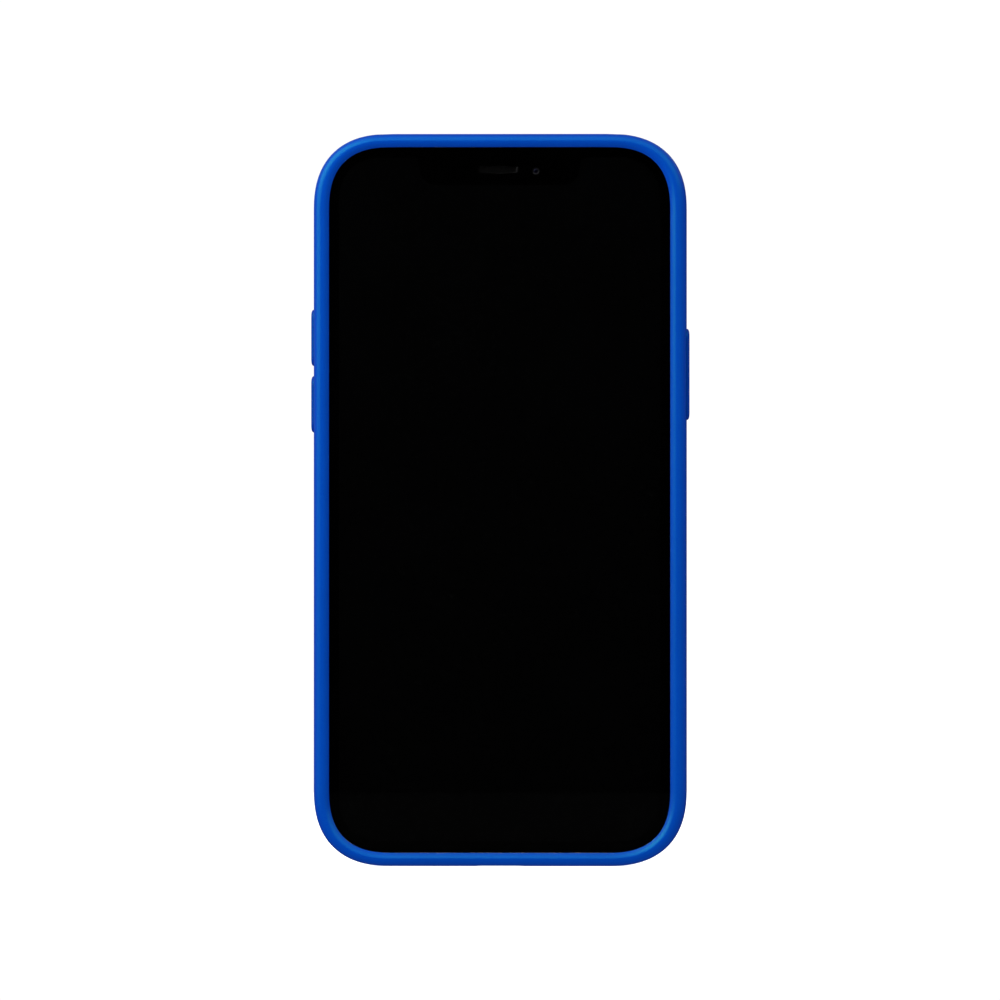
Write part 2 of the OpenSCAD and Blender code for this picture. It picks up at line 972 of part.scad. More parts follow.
// Protection board along the battery's upper edge, with a ribbon to the main board
module battery_flex() {
    low = battery_top + 0.1;
    ribbon_t = 0.15;
    ribbon_z = z_battery + 1.3;
    socket_z = z_board_top + 1.2;
    color("darkgoldenrod") {
        box([-4, low, z_battery], [26, low + 3.2, ribbon_z]);
        box([battery_left, low + 0.6, ribbon_z], [12, low + 2.6, ribbon_z + ribbon_t]);
        box([board_split - 6, low + 0.6, socket_z],
            [battery_left, low + 2.6, socket_z + ribbon_t]);
        box([battery_left - ribbon_t, low + 0.6, ribbon_z],
            [battery_left, low + 2.6, socket_z + ribbon_t]);
    }
}

// Pull-out adhesive strips under the battery
module battery_tabs() {
    color("white")
        for (x = [-26, 4, 24])
            layer(z_inside_low, z_battery, x, (battery_low + battery_foot) / 2 - 2)
                round_rect(6, battery_foot - battery_low + 4, 1);
}

module internal_screws() {
    color("silver")
        for (p = BOARD_SCREWS)
            difference() {
                union() {
                    layer(z_midplate, z_board_top, p[0], p[1])
                        circle(d = screw_d);
                    layer(z_board_top, z_board_top + 0.6, p[0], p[1])
                        circle(d = 2.6);
                }
                for (turn = [0, 90])
                    layer(z_board_top + 0.3, z_board_top + 1, p[0], p[1])
                        rotate(turn)
                            square([1.6, 0.35], center = true);
            }
}

// Flat winding drawn as rings beside each other
module wireless_coil() {
    turns = 9;
    inner = 20.6;
    pitch = 1.35;
    color("peru")
        for (i = [0 : turns - 1])
            layer(z_back_glass + 0.02, z_coil - 0.02, 0, coil_y)
                difference() {
                    circle(d = inner + 2 * pitch * i + 2 * 1.1);
                    circle(d = inner + 2 * pitch * i);
                }
}

module coil_shield() {
    color("dimgray")
        layer(z_coil, z_midplate, 0, coil_y)
            round_rect(52, 54, 4);
}

// ---- Lower end ----

module charge_port() {
    wall = 0.32;
    ear = 2.6;
    low = inner_low;
    high = body_low + port_depth;
    color("silver")
        difference() {
            union() {
                along(0, z_port, low, high)
                    slot_shape(port_w + 2 * wall, port_t + 2 * wall);
                for (side = [-1, 1])
                    box([side * screw_x - ear / 2, low, z_port - 1.3],
                        [side * screw_x + ear / 2, low + 2.2, z_port + 1.3]);
                box([-screw_x, low + 0.4, z_port - port_t / 2 - wall],
                    [screw_x, low + 1.8, z_port - port_t / 2]);
            }
            along(0, z_port, low - 1, high - wall)
                slot_shape(port_w, port_t);
            for (side = [-1, 1])
                along(side * screw_x, z_port, low - 1, low + 3)
                    circle(d = screw_d);
        }
}

// Contact tongue in the middle of the port, with its pads as raised strips
module charge_port_tongue() {
    thick = 0.6;
    tip = body_low + 1.4;
    root = body_low + port_depth - 0.32;
    color("black") {
        box([-3.3, tip, z_port - thick / 2], [3.3, root, z_port + thick / 2]);
        for (i = [-5.5 : 5.5], side = [-1, 1])
            box([i * 0.5 - 0.12, tip + 0.5, z_port + side * thick / 2 - 0.04],
                [i * 0.5 + 0.12, tip + 4.2, z_port + side * thick / 2 + 0.04]);
    }
}

module lower_flex() {
    thick = 0.2;
    high = body_low + port_depth;
    color("darkgoldenrod") {
        box([-9, high, z_inside_low], [9, high + 9, z_inside_low + thick]);
        box([-3.5, high, z_inside_low + thick], [3.5, high + 1.2, z_port + 0.8]);
        box([-7, high + 9, z_inside_low], [1, high + 9 + thick, z_battery_top + thick]);
        box([-7, high + 9 + thick, z_battery_top], [1, board_low - 4, z_battery_top + thick]);
        for (x = [-6.5, 6.5])
            box([x - 1.7, high + 3, z_inside_low + thick],
                [x + 1.7, high + 5.4, z_inside_low + 1.2]);
    }
}

module bottom_screws() {
    color("silver")
        for (side = [-1, 1])
            difference() {
                union() {
                    along(side * screw_x, z_port, body_low + 0.1, body_low + 0.9)
                        circle(d = 1.9);
                    along(side * screw_x, z_port, body_low + 0.9, inner_low + 2.2)
                        circle(d = screw_d);
                }
                for (turn = [0, 90])
                    along(side * screw_x, z_port, body_low - 1, body_low + 0.5)
                        rotate(turn)
                            square([1.2, 0.35], center = true);
            }
}

// Closed chamber with the diaphragm's mouth on the screen side and a duct to the holes
module loudspeaker_box() {
    wall = 0.3;
    low = z_inside_low;
    high = z_inside_top - 0.2;
    ledge = 0.5;
    color("darkslategray")
        difference() {
            union() {
                layer(low, high, speaker_x, speaker_y)
                    round_rect(speaker_l, speaker_w, 3);
                along(sound_x, z_port, inner_low + 0.2, speaker_y - speaker_w / 2 + 1)
                    slot_shape(15, 3.2);
            }
            layer(low + wall, high - wall, speaker_x, speaker_y)
                difference() {
                    round_rect(speaker_l - 2 * wall, speaker_w - 2 * wall, 2.7);
                    difference() {
                        round_rect(diaphragm_l + 1.4, diaphragm_w + 1.4, 3);
                        round_rect(diaphragm_l + 0.4, diaphragm_w + 0.4, 2.6);
                    }
                }
            layer(high - wall - 1, high + 1, speaker_x, speaker_y)
                round_rect(diaphragm_l - 2, diaphragm_w - 2, 2);
            along(sound_x, z_port, inner_low, speaker_y - speaker_w / 2 + 2.6)
                slot_shape(14, 2);
        }
}

// Thin cone with a raised middle and its voice coil behind
module speaker_diaphragm() {
    color("silver") {
        layer(z_diaphragm, z_diaphragm + 0.15, speaker_x, speaker_y)
            round_rect(diaphragm_l, diaphragm_w, 2.4);
        layer(z_diaphragm + 0.15, z_diaphragm + 0.4, speaker_x, speaker_y)
            round_rect(diaphragm_l - 6, diaphragm_w - 4, 2);
        layer(z_diaphragm - 0.9, z_diaphragm, speaker_x, speaker_y)
            difference() {
                round_rect(diaphragm_l - 6, diaphragm_w - 3.4, 2);
                round_rect(diaphragm_l - 6.6, diaphragm_w - 4, 1.7);
            }
    }
}

// Fine mesh strips behind the frame's sound holes
module speaker_mesh() {
    color("dimgray")
        for (x = [-sound_x, sound_x])
            along(x, z_port, inner_low, inner_low + 0.2)
                slot_shape(15, 2.4);
}

module haptic_housing() {
    high = z_inside_top - 0.3;
    color("silver")
        difference() {
            layer(z_inside_low, high, haptic_x, haptic_y)
                round_rect(haptic_l, haptic_w, 0.8);
            layer(z_inside_low + haptic_wall, high - haptic_wall, haptic_x, haptic_y)
                round_rect(haptic_l - 2 * haptic_wall, haptic_w - 2 * haptic_wall, 0.5);
        }
}

module haptic_mass() {
    slack = 0.25;
    color("dimgray")
        difference() {
            layer(z_inside_low + haptic_wall + slack, z_inside_top - 0.3 - haptic_wall - slack,
                haptic_x, haptic_y)
                round_rect(haptic_mass_l, haptic_w - 2 * haptic_wall - 2 * slack, 0.4);
            layer(z_inside_low - 1, z_inside_top, haptic_x, haptic_y)
                round_rect(9, 3, 0.4);
        }
}

// A folded leaf at each end of the mass
module haptic_springs() {
    gap = (haptic_l - 2 * haptic_wall - haptic_mass_l) / 2;
    leaf = 0.2;
    half = (haptic_w - 2 * haptic_wall) / 2 - 0.6;
    color("lightgray")
        for (side = [-1, 1])
            layer(z_inside_low + haptic_wall + 0.6, z_inside_top - haptic_wall - 0.9,
                haptic_x + side * haptic_mass_l / 2, haptic_y)
                scale([side, 1])
                    polygon([
                        [0, -half], [gap, half - leaf], [gap, half], [gap - leaf, half],
                        [0, -half + 2 * leaf]
                    ]);
}

module sim_tray() {
    body_l = 15;
    depth = 15.4;
    thick = 0.75;
    color("lightsteelblue")
        difference() {
            union() {
                from_side(-1, sim_y, x_inside, x_band, z_sim)
                    rotate(90)
                        slot_shape(sim_l, sim_t);
                box([-x_inside, sim_y - body_l / 2, z_sim - thick / 2],
                    [-x_inside + depth, sim_y + body_l / 2, z_sim + thick / 2]);
            }
            box([-x_inside + 1.8, sim_y - 6.2, z_sim - 0.2],
                [-x_inside + 1.8 + 8.8, sim_y + 6.1, z_sim + 1]);
            box([-x_inside + 3, sim_y - 4.8, z_sim - 1],
                [-x_inside + 9.4, sim_y + 4.8, z_sim + 1]);
            from_side(-1, sim_y - sim_l / 2 + 1.4, x_band - 1, x_band + 1, z_sim)
                circle(d = 0.8);
        }
}

// Sheet-metal cage on the board that the tray runs into
module sim_reader() {
    wall = 0.2;
    depth = 16;
    half = 8.4;
    top = z_sim + 0.75;
    color("silver")
        difference() {
            box([board_x, sim_y - half, z_board_top], [board_x + depth, sim_y + half, top]);
            box([board_x - 1, sim_y - half + wall, z_board_top + wall],
                [board_x + depth - wall, sim_y + half - wall, top - wall]);
            for (i = [-2 : 2])
                layer(top - 1, top + 1, board_x + depth / 2, sim_y + 3 * i)
                    slot_shape(7, 0.8);
        }
}

upright() case_shell();
upright() case_lining();
upright() volume_up_cover();
upright() volume_down_cover();
upright() side_button_cover();
upright() frame_band();
upright() antenna_breaks();
upright() midplate();
upright() front_glass();
upright() display_seal();
upright() back_glass();
upright() display_panel();
upright() display_frame();
upright() display_flex();
upright() earpiece_mesh();
upright() volume_up_button();
upright() volume_down_button();
upright() side_button();
upright() ring_switch_lever();
upright() ring_switch_base();
upright() button_domes();
upright() button_flex();
upright() camera_island();
upright() lens_rings();
upright() lens_covers();
upright() wide_camera_housing();
upright() wide_lens_barrel();
upright() ultrawide_camera();
upright() tele_camera_housing();
upright() tele_lens_barrel();
upright() camera_bracket();
upright() flash_led();
upright() flash_lens();
upright() rear_microphone();
upright() front_camera();
upright() depth_sensors();
upright() sensor_bracket();
upright() earpiece_speaker();
upright() logic_board();
upright() board_chips();
upright() board_shields();
upright() connector_cover();
upright() battery();
upright() battery_flex();
upright() battery_tabs();
upright() internal_screws();
upright() wireless_coil();
upright() coil_shield();
upright() charge_port();
upright() charge_port_tongue();
upright() lower_flex();
upright() bottom_screws();
upright() loudspeaker_box();
upright() speaker_diaphragm();
upright() speaker_mesh();
upright() haptic_housing();
upright() haptic_mass();
upright() haptic_springs();
upright() sim_tray();
upright() sim_reader();
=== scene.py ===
import json
import math

import bmesh
import bpy
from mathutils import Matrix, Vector


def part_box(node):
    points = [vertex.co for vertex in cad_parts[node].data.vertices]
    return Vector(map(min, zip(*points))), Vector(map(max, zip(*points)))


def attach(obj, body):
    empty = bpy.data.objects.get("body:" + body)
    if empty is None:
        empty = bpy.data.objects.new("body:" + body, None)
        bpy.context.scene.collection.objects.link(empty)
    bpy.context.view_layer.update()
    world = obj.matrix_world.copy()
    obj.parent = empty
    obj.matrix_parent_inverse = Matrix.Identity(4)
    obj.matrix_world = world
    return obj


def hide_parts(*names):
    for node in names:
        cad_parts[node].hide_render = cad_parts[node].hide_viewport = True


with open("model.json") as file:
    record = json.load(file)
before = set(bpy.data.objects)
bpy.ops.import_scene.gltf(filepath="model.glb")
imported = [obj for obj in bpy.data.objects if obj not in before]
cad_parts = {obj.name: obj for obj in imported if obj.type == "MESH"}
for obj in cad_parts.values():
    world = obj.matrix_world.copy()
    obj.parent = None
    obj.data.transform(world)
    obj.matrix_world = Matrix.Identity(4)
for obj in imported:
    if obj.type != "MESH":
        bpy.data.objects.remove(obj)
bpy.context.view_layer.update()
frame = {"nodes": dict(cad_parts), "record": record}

MM = 0.001


def at(x, y, z):
    """A point given in millimetres across, up and towards the screen, in the row frame."""
    return Vector((x, -z, y)) * MM


def span(node):
    """The CAD node's box in millimetres: lowest and highest across, up and towards the screen."""
    low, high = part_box(node)
    return (
        (low.x / MM, low.z / MM, -high.y / MM),
        (high.x / MM, high.z / MM, -low.y / MM),
    )


# ---- Sizes, all in millimetres ----

case_low, case_high = span("case_shell")
CASE_W = case_high[0] - case_low[0]
CASE_H = case_high[1] - case_low[1]
MIDDLE = CASE_H / 2
Z_LIP, Z_CASE_BACK = case_high[2], case_low[2]
Z_GLASS = span("front_glass")[1][2]
Z_PANEL = span("front_glass")[0][2]
Z_BACK = span("camera_island")[1][2]
Z_ISLAND = span("camera_island")[0][2]
Z_LINING = span("case_lining")[0][2]
Z_BUTTON = sum(span("side_button")[i][2] for i in (0, 1)) / 2

# The case: its wall, the rounding of its outer edges, and the slope inside its lip
WALL = 2.05
LIP_EDGE = 1.7
BEAD_W, BEAD_H = 1.45, 0.85
BACK_EDGE = 3.0
OPENING_W, OPENING_H = 75.62, 156.18
COVER_RISE = (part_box("side_button_cover")[1].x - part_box("case_shell")[1].x) / MM
COVER_W = 3.6
COVER_GAP = 0.2
FLANGE_L, FLANGE_W = 1.0, 1.4
FLANGE_DEPTHS = (1.65, 1.15)

# How far each outline's corners reach along its sides, and the power of their curve
CASE_CORNER = (17, 2.42)
OPENING_CORNER = (14.6, 2.66)

# Side openings as (width, height, corner radius), and the flat field left round the small ones
SWITCH_HOLE = (9, 4.8, 2.4)
PORT_HOLE = (13, 6.2, 2.6)
SPEAKER_HOLE = (16, 3.2, 1.6)
FIELD, WIDE_FIELD = 0.9, 1.0
SPEAKER_X = 18.5
POCKET_DEPTH = 1.1
POCKET_ROOM = 0.6

ISLAND_R, ISLAND_GAP = 7, 0.4


# ---- Mesh building ----


class Shape:
    """A mesh made of rings of points."""

    def __init__(self):
        self.bm = bmesh.new()

    def ring(self, points):
        return [self.bm.verts.new(at(*p)) for p in points]

    def bridge(self, a, b):
        for i in range(len(a)):
            j = (i + 1) % len(a)
            self.bm.faces.new((a[i], a[j], b[j], b[i]))

    def stack(self, rings):
        made = [self.ring(points) for points in rings]
        for a, b in zip(made, made[1:]):
            self.bridge(a, b)
        return made

    def fill(self, *rings):
        """A flat face inside the first ring, with the other rings as its holes."""
        if len(rings) == 1:
            self.bm.faces.new(rings[0])
            return
        edges = []
        for ring in rings:
            for i, v in enumerate(ring):
                pair = (v, ring[(i + 1) % len(ring)])
                edges.append(self.bm.edges.get(pair) or self.bm.edges.new(pair))
        bmesh.ops.triangle_fill(self.bm, use_beauty=True, edges=edges)

    def piece(self, name, body, slot, material=None, stands_for=(), crease=38):
        bmesh.ops.recalc_face_normals(self.bm, faces=self.bm.faces[:])
        for edge in self.bm.edges:
            edge.smooth = len(edge.link_faces) == 2 and edge.calc_face_angle(0) < math.radians(crease)
        mesh = bpy.data.meshes.new(name)
        self.bm.to_mesh(mesh)
        self.bm.free()
        mesh.shade_smooth()
        made = bpy.data.objects.new(name, mesh)
        bpy.context.scene.collection.objects.link(made)
        made.data.materials.append(material or SURFACE[slot])
        normals = made.modifiers.new("even shading", "WEIGHTED_NORMAL")
        normals.keep_sharp = True
        normals.weight = 80
        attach(made, body)
        if stands_for:
            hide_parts(*stands_for)
        return made


def rounded_point(w, h, r, side, share):
    """A point on a rounded rectangle, whose sides run clockwise between the middles of its corners."""
    length, height = (w, h) if side % 2 == 0 else (h, w)
    arc = math.pi * r / 4
    straight = max(length - 2 * r, 0)
    d = share * (2 * arc + straight)
    if d < arc:
        turn = math.pi / 4 - d / r
        a = -straight / 2 - r * math.sin(turn)
        b = height / 2 - r + r * math.cos(turn)
    elif d < arc + straight:
        a = -straight / 2 + d - arc
        b = height / 2
    else:
        turn = (d - arc - straight) / r if r > 0 else 0
        a = straight / 2 + r * math.sin(turn)
        b = height / 2 - r + r * math.cos(turn)
    return ((a, b), (b, -a), (-a, -b), (-b, a))[side]


def rounded(w, h, r, long_steps=24, short_steps=12):
    """All points of a rounded rectangle about its middle."""
    return [
        rounded_point(w, h, r, side, i / steps)
        for side, steps in enumerate((long_steps, short_steps) * 2)
        for i in range(steps)
    ]


def quarter(steps):
    """Even turns through a quarter of a circle, both ends included."""
    return [math.pi / 2 * i / steps for i in range(steps + 1)]


def slab(outline, holes, z_low, z_high, edge=0.1, hole_edge=0.05, steps=3, margin=0):
    """A plate with rounded edges. An outline or hole is (x, y, w, h, r, long steps, short steps).

    With a margin, a flat band of that width runs along each edge and keeps the faces' shading flat."""
    shape = Shape()

    def levels(form, sign, radius):
        x, y, w, h, r, long_steps, short_steps = form
        path = [(radius * (1 - math.sin(a)), z_high - radius * (1 - math.cos(a))) for a in quarter(steps)]
        path += [(radius * (1 - math.cos(a)), z_low + radius * (1 - math.sin(a))) for a in quarter(steps)]
        if margin:
            path = [(radius + margin, z_high), *path, (radius + margin, z_low)]
        rings = []
        for inset, z in path:
            g = -sign * inset
            points = rounded(w + 2 * g, h + 2 * g, max(r + g, 0.01), long_steps, short_steps)
            rings.append([(x + u, y + v, z) for u, v in points])
        made = shape.stack(rings)
        return made[0], made[-1]

    pairs = [levels(outline, 1, edge)] + [levels(hole, -1, hole_edge) for hole in holes]
    shape.fill(*[p[0] for p in pairs])
    shape.fill(*[p[1] for p in pairs])
    return shape


def disc(x, y, d, steps=12):
    return (x, y, d, d, d / 2, steps, steps)


def lathe(shape, x, y, profile, steps=72):
    """Turns a profile of (radius, z) points about an axis towards the screen. A radius of 0 closes it."""
    rings = []
    for r, z in profile:
        if r == 0:
            rings.append([shape.bm.verts.new(at(x, y, z))])
        else:
            turns = [2 * math.pi * i / steps for i in range(steps)]
            rings.append(shape.ring([(x + r * math.cos(a), y + r * math.sin(a), z) for a in turns]))
    for a, b in zip(rings, rings[1:]):
        if len(a) == 1 or len(b) == 1:
            tip, ring = (a[0], b) if len(a) == 1 else (b[0], a)
            for i in range(steps):
                shape.bm.faces.new((tip, ring[i], ring[(i + 1) % steps]))
        else:
            shape.bridge(a, b)


def dome(radius, base, rise, steps=8):
    """Profile of a shallow dome that rises towards lower z, from its rim to its middle."""
    bend = (radius**2 + rise**2) / (2 * rise)
    reach = math.asin(radius / bend)
    points = []
    for i in range(steps + 1):
        a = reach * (1 - i / steps)
        points.append((bend * math.sin(a) if i < steps else 0, base - (bend * math.cos(a) - bend + rise)))
    return points


# ---- Materials ----


class Nodes:
    """Short ways to add nodes to a material."""

    def __init__(self, name):
        self.material = bpy.data.materials.new(name)
        self.material.use_nodes = True
        self.tree = self.material.node_tree
        self.bsdf = self.tree.nodes["Principled BSDF"]
        self.place = self.add("ShaderNodeTexCoord").outputs["Object"]

    def add(self, kind, **values):
        node = self.tree.nodes.new(kind)
        for key, value in values.items():
            setattr(node, key, value)
        return node

    def link(self, a, b):
        self.tree.links.new(a, b)

    def stretched(self, stretch):
        node = self.add("ShaderNodeMapping")
        node.inputs["Scale"].default_value = stretch
        self.link(self.place, node.inputs["Vector"])
        return node.outputs["Vector"]

    def noise(self, scale, detail=2.0, stretch=None):
        node = self.add("ShaderNodeTexNoise")
        node.inputs["Scale"].default_value = scale
        node.inputs["Detail"].default_value = detail
        self.link(self.stretched(stretch) if stretch else self.place, node.inputs["Vector"])
        return node.outputs["Fac"]

    def ramp(self, source, low, high, low_at=0.3, high_at=0.7):
        node = self.add("ShaderNodeValToRGB")
        node.color_ramp.elements[0].position = low_at
        node.color_ramp.elements[0].color = (*low, 1)
        node.color_ramp.elements[1].position = high_at
        node.color_ramp.elements[1].color = (*high, 1)
        self.link(source, node.inputs["Fac"])
        return node.outputs["Color"]

    def spread(self, source, low, high):
        node = self.add("ShaderNodeMapRange")
        node.inputs["From Min"].default_value = 0.3
        node.inputs["From Max"].default_value = 0.7
        node.inputs["To Min"].default_value = low
        node.inputs["To Max"].default_value = high
        self.link(source, node.inputs["Value"])
        return node.outputs["Result"]

    def bump(self, source, strength, depth_mm):
        node = self.add("ShaderNodeBump")
        node.inputs["Strength"].default_value = strength
        node.inputs["Distance"].default_value = depth_mm * MM
        self.link(source, node.inputs["Height"])
        self.link(node.outputs["Normal"], self.bsdf.inputs["Normal"])

    def set(self, **values):
        for key, value in values.items():
            self.bsdf.inputs[key.replace("_", " ")].default_value = value


def surface(name, colour, rough=0.5, metal=0.0, vary=0.12, patch=300, grain=6000, relief=0.2,
            relief_mm=0.01, rough_vary=0.06, stretch=None, **more):
    """A material whose colour, roughness and fine relief vary by noise."""
    n = Nodes(name)
    dark = [c * (1 - vary) for c in colour]
    light = [min(c * (1 + vary), 1) for c in colour]
    n.link(n.ramp(n.noise(patch, 3, stretch), dark, light), n.bsdf.inputs["Base Color"])
    fine = n.noise(grain, 2, stretch)
    n.link(n.spread(fine, rough - rough_vary, rough + rough_vary), n.bsdf.inputs["Roughness"])
    n.bump(fine, relief, relief_mm)
    n.set(Metallic=metal, **more)
    return n.material


def circuit_surface():
    """Solder mask with copper runs and dots under it."""
    n = Nodes("board_green")
    runs = n.add("ShaderNodeTexBrick", offset=0.5, squash=1.0)
    runs.inputs["Scale"].default_value = 260
    runs.inputs["Mortar Size"].default_value = 0.035
    runs.inputs["Color1"].default_value = (0.006, 0.03, 0.022, 1)
    runs.inputs["Color2"].default_value = (0.01, 0.045, 0.034, 1)
    runs.inputs["Mortar"].default_value = (0.035, 0.1, 0.05, 1)
    n.link(n.place, runs.inputs["Vector"])
    n.link(runs.outputs["Color"], n.bsdf.inputs["Base Color"])
    fine = n.noise(2500)
    n.link(n.spread(fine, 0.25, 0.4), n.bsdf.inputs["Roughness"])
    n.bump(runs.outputs["Fac"], 0.3, 0.02)
    return n.material


def striped_surface(name, colour, line, scale, rough=0.4, metal=0.0, direction="Z"):
    """Parallel runs, as on a ribbon cable or a winding."""
    n = Nodes(name)
    wave = n.add("ShaderNodeTexWave", wave_type="BANDS", bands_direction=direction)
    wave.inputs["Scale"].default_value = scale
    wave.inputs["Distortion"].default_value = 0.4
    wave.inputs["Detail"].default_value = 1.0
    n.link(n.place, wave.inputs["Vector"])
    n.link(n.ramp(wave.outputs["Fac"], colour, line, 0.45, 0.6), n.bsdf.inputs["Base Color"])
    n.link(n.spread(n.noise(3000), rough - 0.05, rough + 0.08), n.bsdf.inputs["Roughness"])
    n.bump(wave.outputs["Fac"], 0.25, 0.02)
    n.set(Metallic=metal)
    return n.material


def clear_surface(name, tint, rough=0.0, **more):
    """Clear glass with a trace of haze in its roughness."""
    n = Nodes(name)
    n.link(n.ramp(n.noise(60, 2), tint, tint), n.bsdf.inputs["Base Color"])
    n.link(n.spread(n.noise(900, 3), rough, rough + 0.012), n.bsdf.inputs["Roughness"])
    n.set(Transmission_Weight=1.0, IOR=1.5, **more)
    return n.material


def silicone_surface(name, deep, bright, gloss=0.55):
    """Soft-touch silicone: a fine even grain with a low satin sheen."""
    n = Nodes(name)
    n.link(n.ramp(n.noise(90, 3), deep, bright), n.bsdf.inputs["Base Color"])
    grain = n.noise(7000, 3)
    n.link(n.spread(grain, 0.25, 0.32), n.bsdf.inputs["Roughness"])
    n.bump(grain, 0.1, 0.01)
    n.set(Specular_IOR_Level=gloss, Specular_Tint=(0.08, 1.0, 0.22, 1))
    return n.material


def display_surface():
    """A panel that is off: nearly black, with a fine grid of picture elements."""
    n = Nodes("panel_off")
    grid = n.add("ShaderNodeTexBrick", offset=0.0, squash=1.0)
    grid.inputs["Scale"].default_value = 4000
    grid.inputs["Mortar Size"].default_value = 0.06
    grid.inputs["Color1"].default_value = (0.0008, 0.0008, 0.0009, 1)
    grid.inputs["Color2"].default_value = (0.001, 0.001, 0.0011, 1)
    grid.inputs["Mortar"].default_value = (0.0004, 0.0004, 0.0004, 1)
    turned = n.add("ShaderNodeMapping")
    turned.inputs["Rotation"].default_value = (math.pi / 2, 0, 0)
    n.link(n.place, turned.inputs["Vector"])
    n.link(turned.outputs["Vector"], grid.inputs["Vector"])
    n.link(grid.outputs["Color"], n.bsdf.inputs["Base Color"])
    n.link(n.spread(n.noise(500), 0.2, 0.26), n.bsdf.inputs["Roughness"])
    n.set(Specular_IOR_Level=0.03)
    return n.material


def coated_surface(name, colour, film, gloss=0.9):
    """The front of a lens: nearly black glass under a coloured anti-reflection film."""
    n = Nodes(name)
    n.link(n.ramp(n.noise(500, 1), [c * 0.8 for c in colour], colour), n.bsdf.inputs["Base Color"])
    n.link(n.spread(n.noise(2500), 0.03, 0.06), n.bsdf.inputs["Roughness"])
    n.set(Specular_Tint=(*film, 1), Specular_IOR_Level=gloss)
    return n.material


SURFACE = {
    "case_silicone": silicone_surface("blue_silicone", (0.0, 0.064, 0.62), (0.0, 0.068, 0.655)),
    "case_lining": surface("soft_lining", (0.01, 0.05, 0.3), 0.9, patch=2500, grain=9000, relief=0.5,
                           relief_mm=0.05, Sheen_Weight=0.4),
    "frame_metal": surface("satin_metal", (0.38, 0.42, 0.48), 0.34, 1.0, vary=0.04, grain=9000, relief=0.1),
    "antenna_plastic": surface("break_plastic", (0.11, 0.13, 0.18), 0.5),
    "midplate_metal": surface("rolled_plate", (0.5, 0.5, 0.52), 0.38, 1.0, vary=0.05, stretch=(1, 1, 0.05)),
    "front_glass": clear_surface("cover_glass", (0.9, 0.92, 0.93)),
    "seal_rubber": surface("seal_rubber", (0.012, 0.012, 0.012), 0.7, relief=0.3),
    "back_glass": surface("frosted_glass", (0.2, 0.26, 0.35), 0.32, vary=0.03, grain=12000, relief=0.06,
                          Coat_Weight=0.3, Coat_Roughness=0.25),
    "display": display_surface(),
    "display_back": surface("panel_back", (0.35, 0.35, 0.37), 0.4, 1.0, vary=0.06, stretch=(1, 1, 0.1)),
    "ribbon": striped_surface("ribbon_cable", (0.28, 0.12, 0.02), (0.4, 0.2, 0.05), 900, direction="X"),
    "mesh": surface("grille_metal", (0.0009, 0.0009, 0.001), 0.6, 0.0, grain=9000, relief=0.3,
                    Specular_IOR_Level=0.03),
    "black_plastic": surface("black_plastic", (0.006, 0.006, 0.007), 0.42, vary=0.2, relief=0.25),
    "camera_body": surface("camera_body", (0.02, 0.02, 0.022), 0.4, vary=0.2, relief=0.25),
    "steel": surface("pressed_steel", (0.5, 0.5, 0.52), 0.3, 1.0, vary=0.05, stretch=(1, 1, 0.06)),
    "lens_ring": surface("polished_ring", (0.46, 0.5, 0.57), 0.2, 0.92, vary=0.03, grain=4000, relief=0.04,
                         rough_vary=0.03),
    "lens_cover": clear_surface("lens_window", (0.85, 0.88, 0.9)),
    "gold": surface("gold_plate", (0.8, 0.52, 0.16), 0.28, 1.0, vary=0.06, relief=0.1),
    "flash_window": clear_surface("flash_window", (0.98, 0.93, 0.75), 0.12),
    "circuit_board": circuit_surface(),
    "chip": surface("chip_epoxy", (0.012, 0.012, 0.013), 0.55, vary=0.3, grain=5000, relief=0.4),
    "battery_wrap": surface("battery_foil", (0.02, 0.02, 0.023), 0.45, vary=0.15, patch=120, grain=2500,
                            relief=0.3, relief_mm=0.02),
    "white_tape": surface("white_tape", (0.75, 0.75, 0.72), 0.6, vary=0.05, relief=0.3),
    "copper": striped_surface("copper_winding", (0.5, 0.2, 0.08), (0.62, 0.28, 0.13), 1400, 0.3, 1.0, "Z"),
    "ferrite": surface("ferrite_sheet", (0.05, 0.047, 0.047), 0.6, vary=0.2, relief=0.4),
    "diaphragm": surface("diaphragm", (0.5, 0.51, 0.54), 0.35, 0.8, vary=0.06, patch=800),
    "weight": surface("tungsten", (0.1, 0.1, 0.105), 0.42, 1.0, vary=0.1, relief=0.3),
}
# The button covers use the case's silicone with a darker blue and a lower gloss. The darker blue is painted
# shade for the shade the covers sit in below the lip, not a different dye.
COVER_SILICONE_PAINTED_SHADE = silicone_surface("cover_silicone_painted_shade", (0.0, 0.044, 0.46), (0.0, 0.047, 0.49), 0.3)
INK = surface("printed_ink", (0.0003, 0.0003, 0.0003), 0.7, relief=0.1, Specular_IOR_Level=0.0)
BAFFLE = surface("baffle_black", (0.004, 0.004, 0.0045), 0.5, vary=0.2, relief=0.2)
VIOLET_LENS = coated_surface("violet_coating", (0.002, 0.0015, 0.005), (0.55, 0.35, 1.0))
GREEN_LENS = coated_surface("green_coating", (0.001, 0.003, 0.003), (0.35, 0.9, 0.7))
BLUE_LENS = coated_surface("blue_coating", (0.001, 0.002, 0.012), (0.3, 0.5, 1.0))
SMALL_LENS = coated_surface("small_lens_coating", (0.0008, 0.0008, 0.003), (0.5, 0.55, 1.0), 0.1)
FRONT_RING = surface("front_ring", (0.004, 0.0035, 0.0045), 0.5, vary=0.15, Specular_IOR_Level=0.1)

for subpart in frame["record"]["subparts"]:
    for slot in frame["nodes"][subpart["node"]].material_slots:
        slot.material = SURFACE[subpart["material_slot"]]


# ---- Silicone case ----


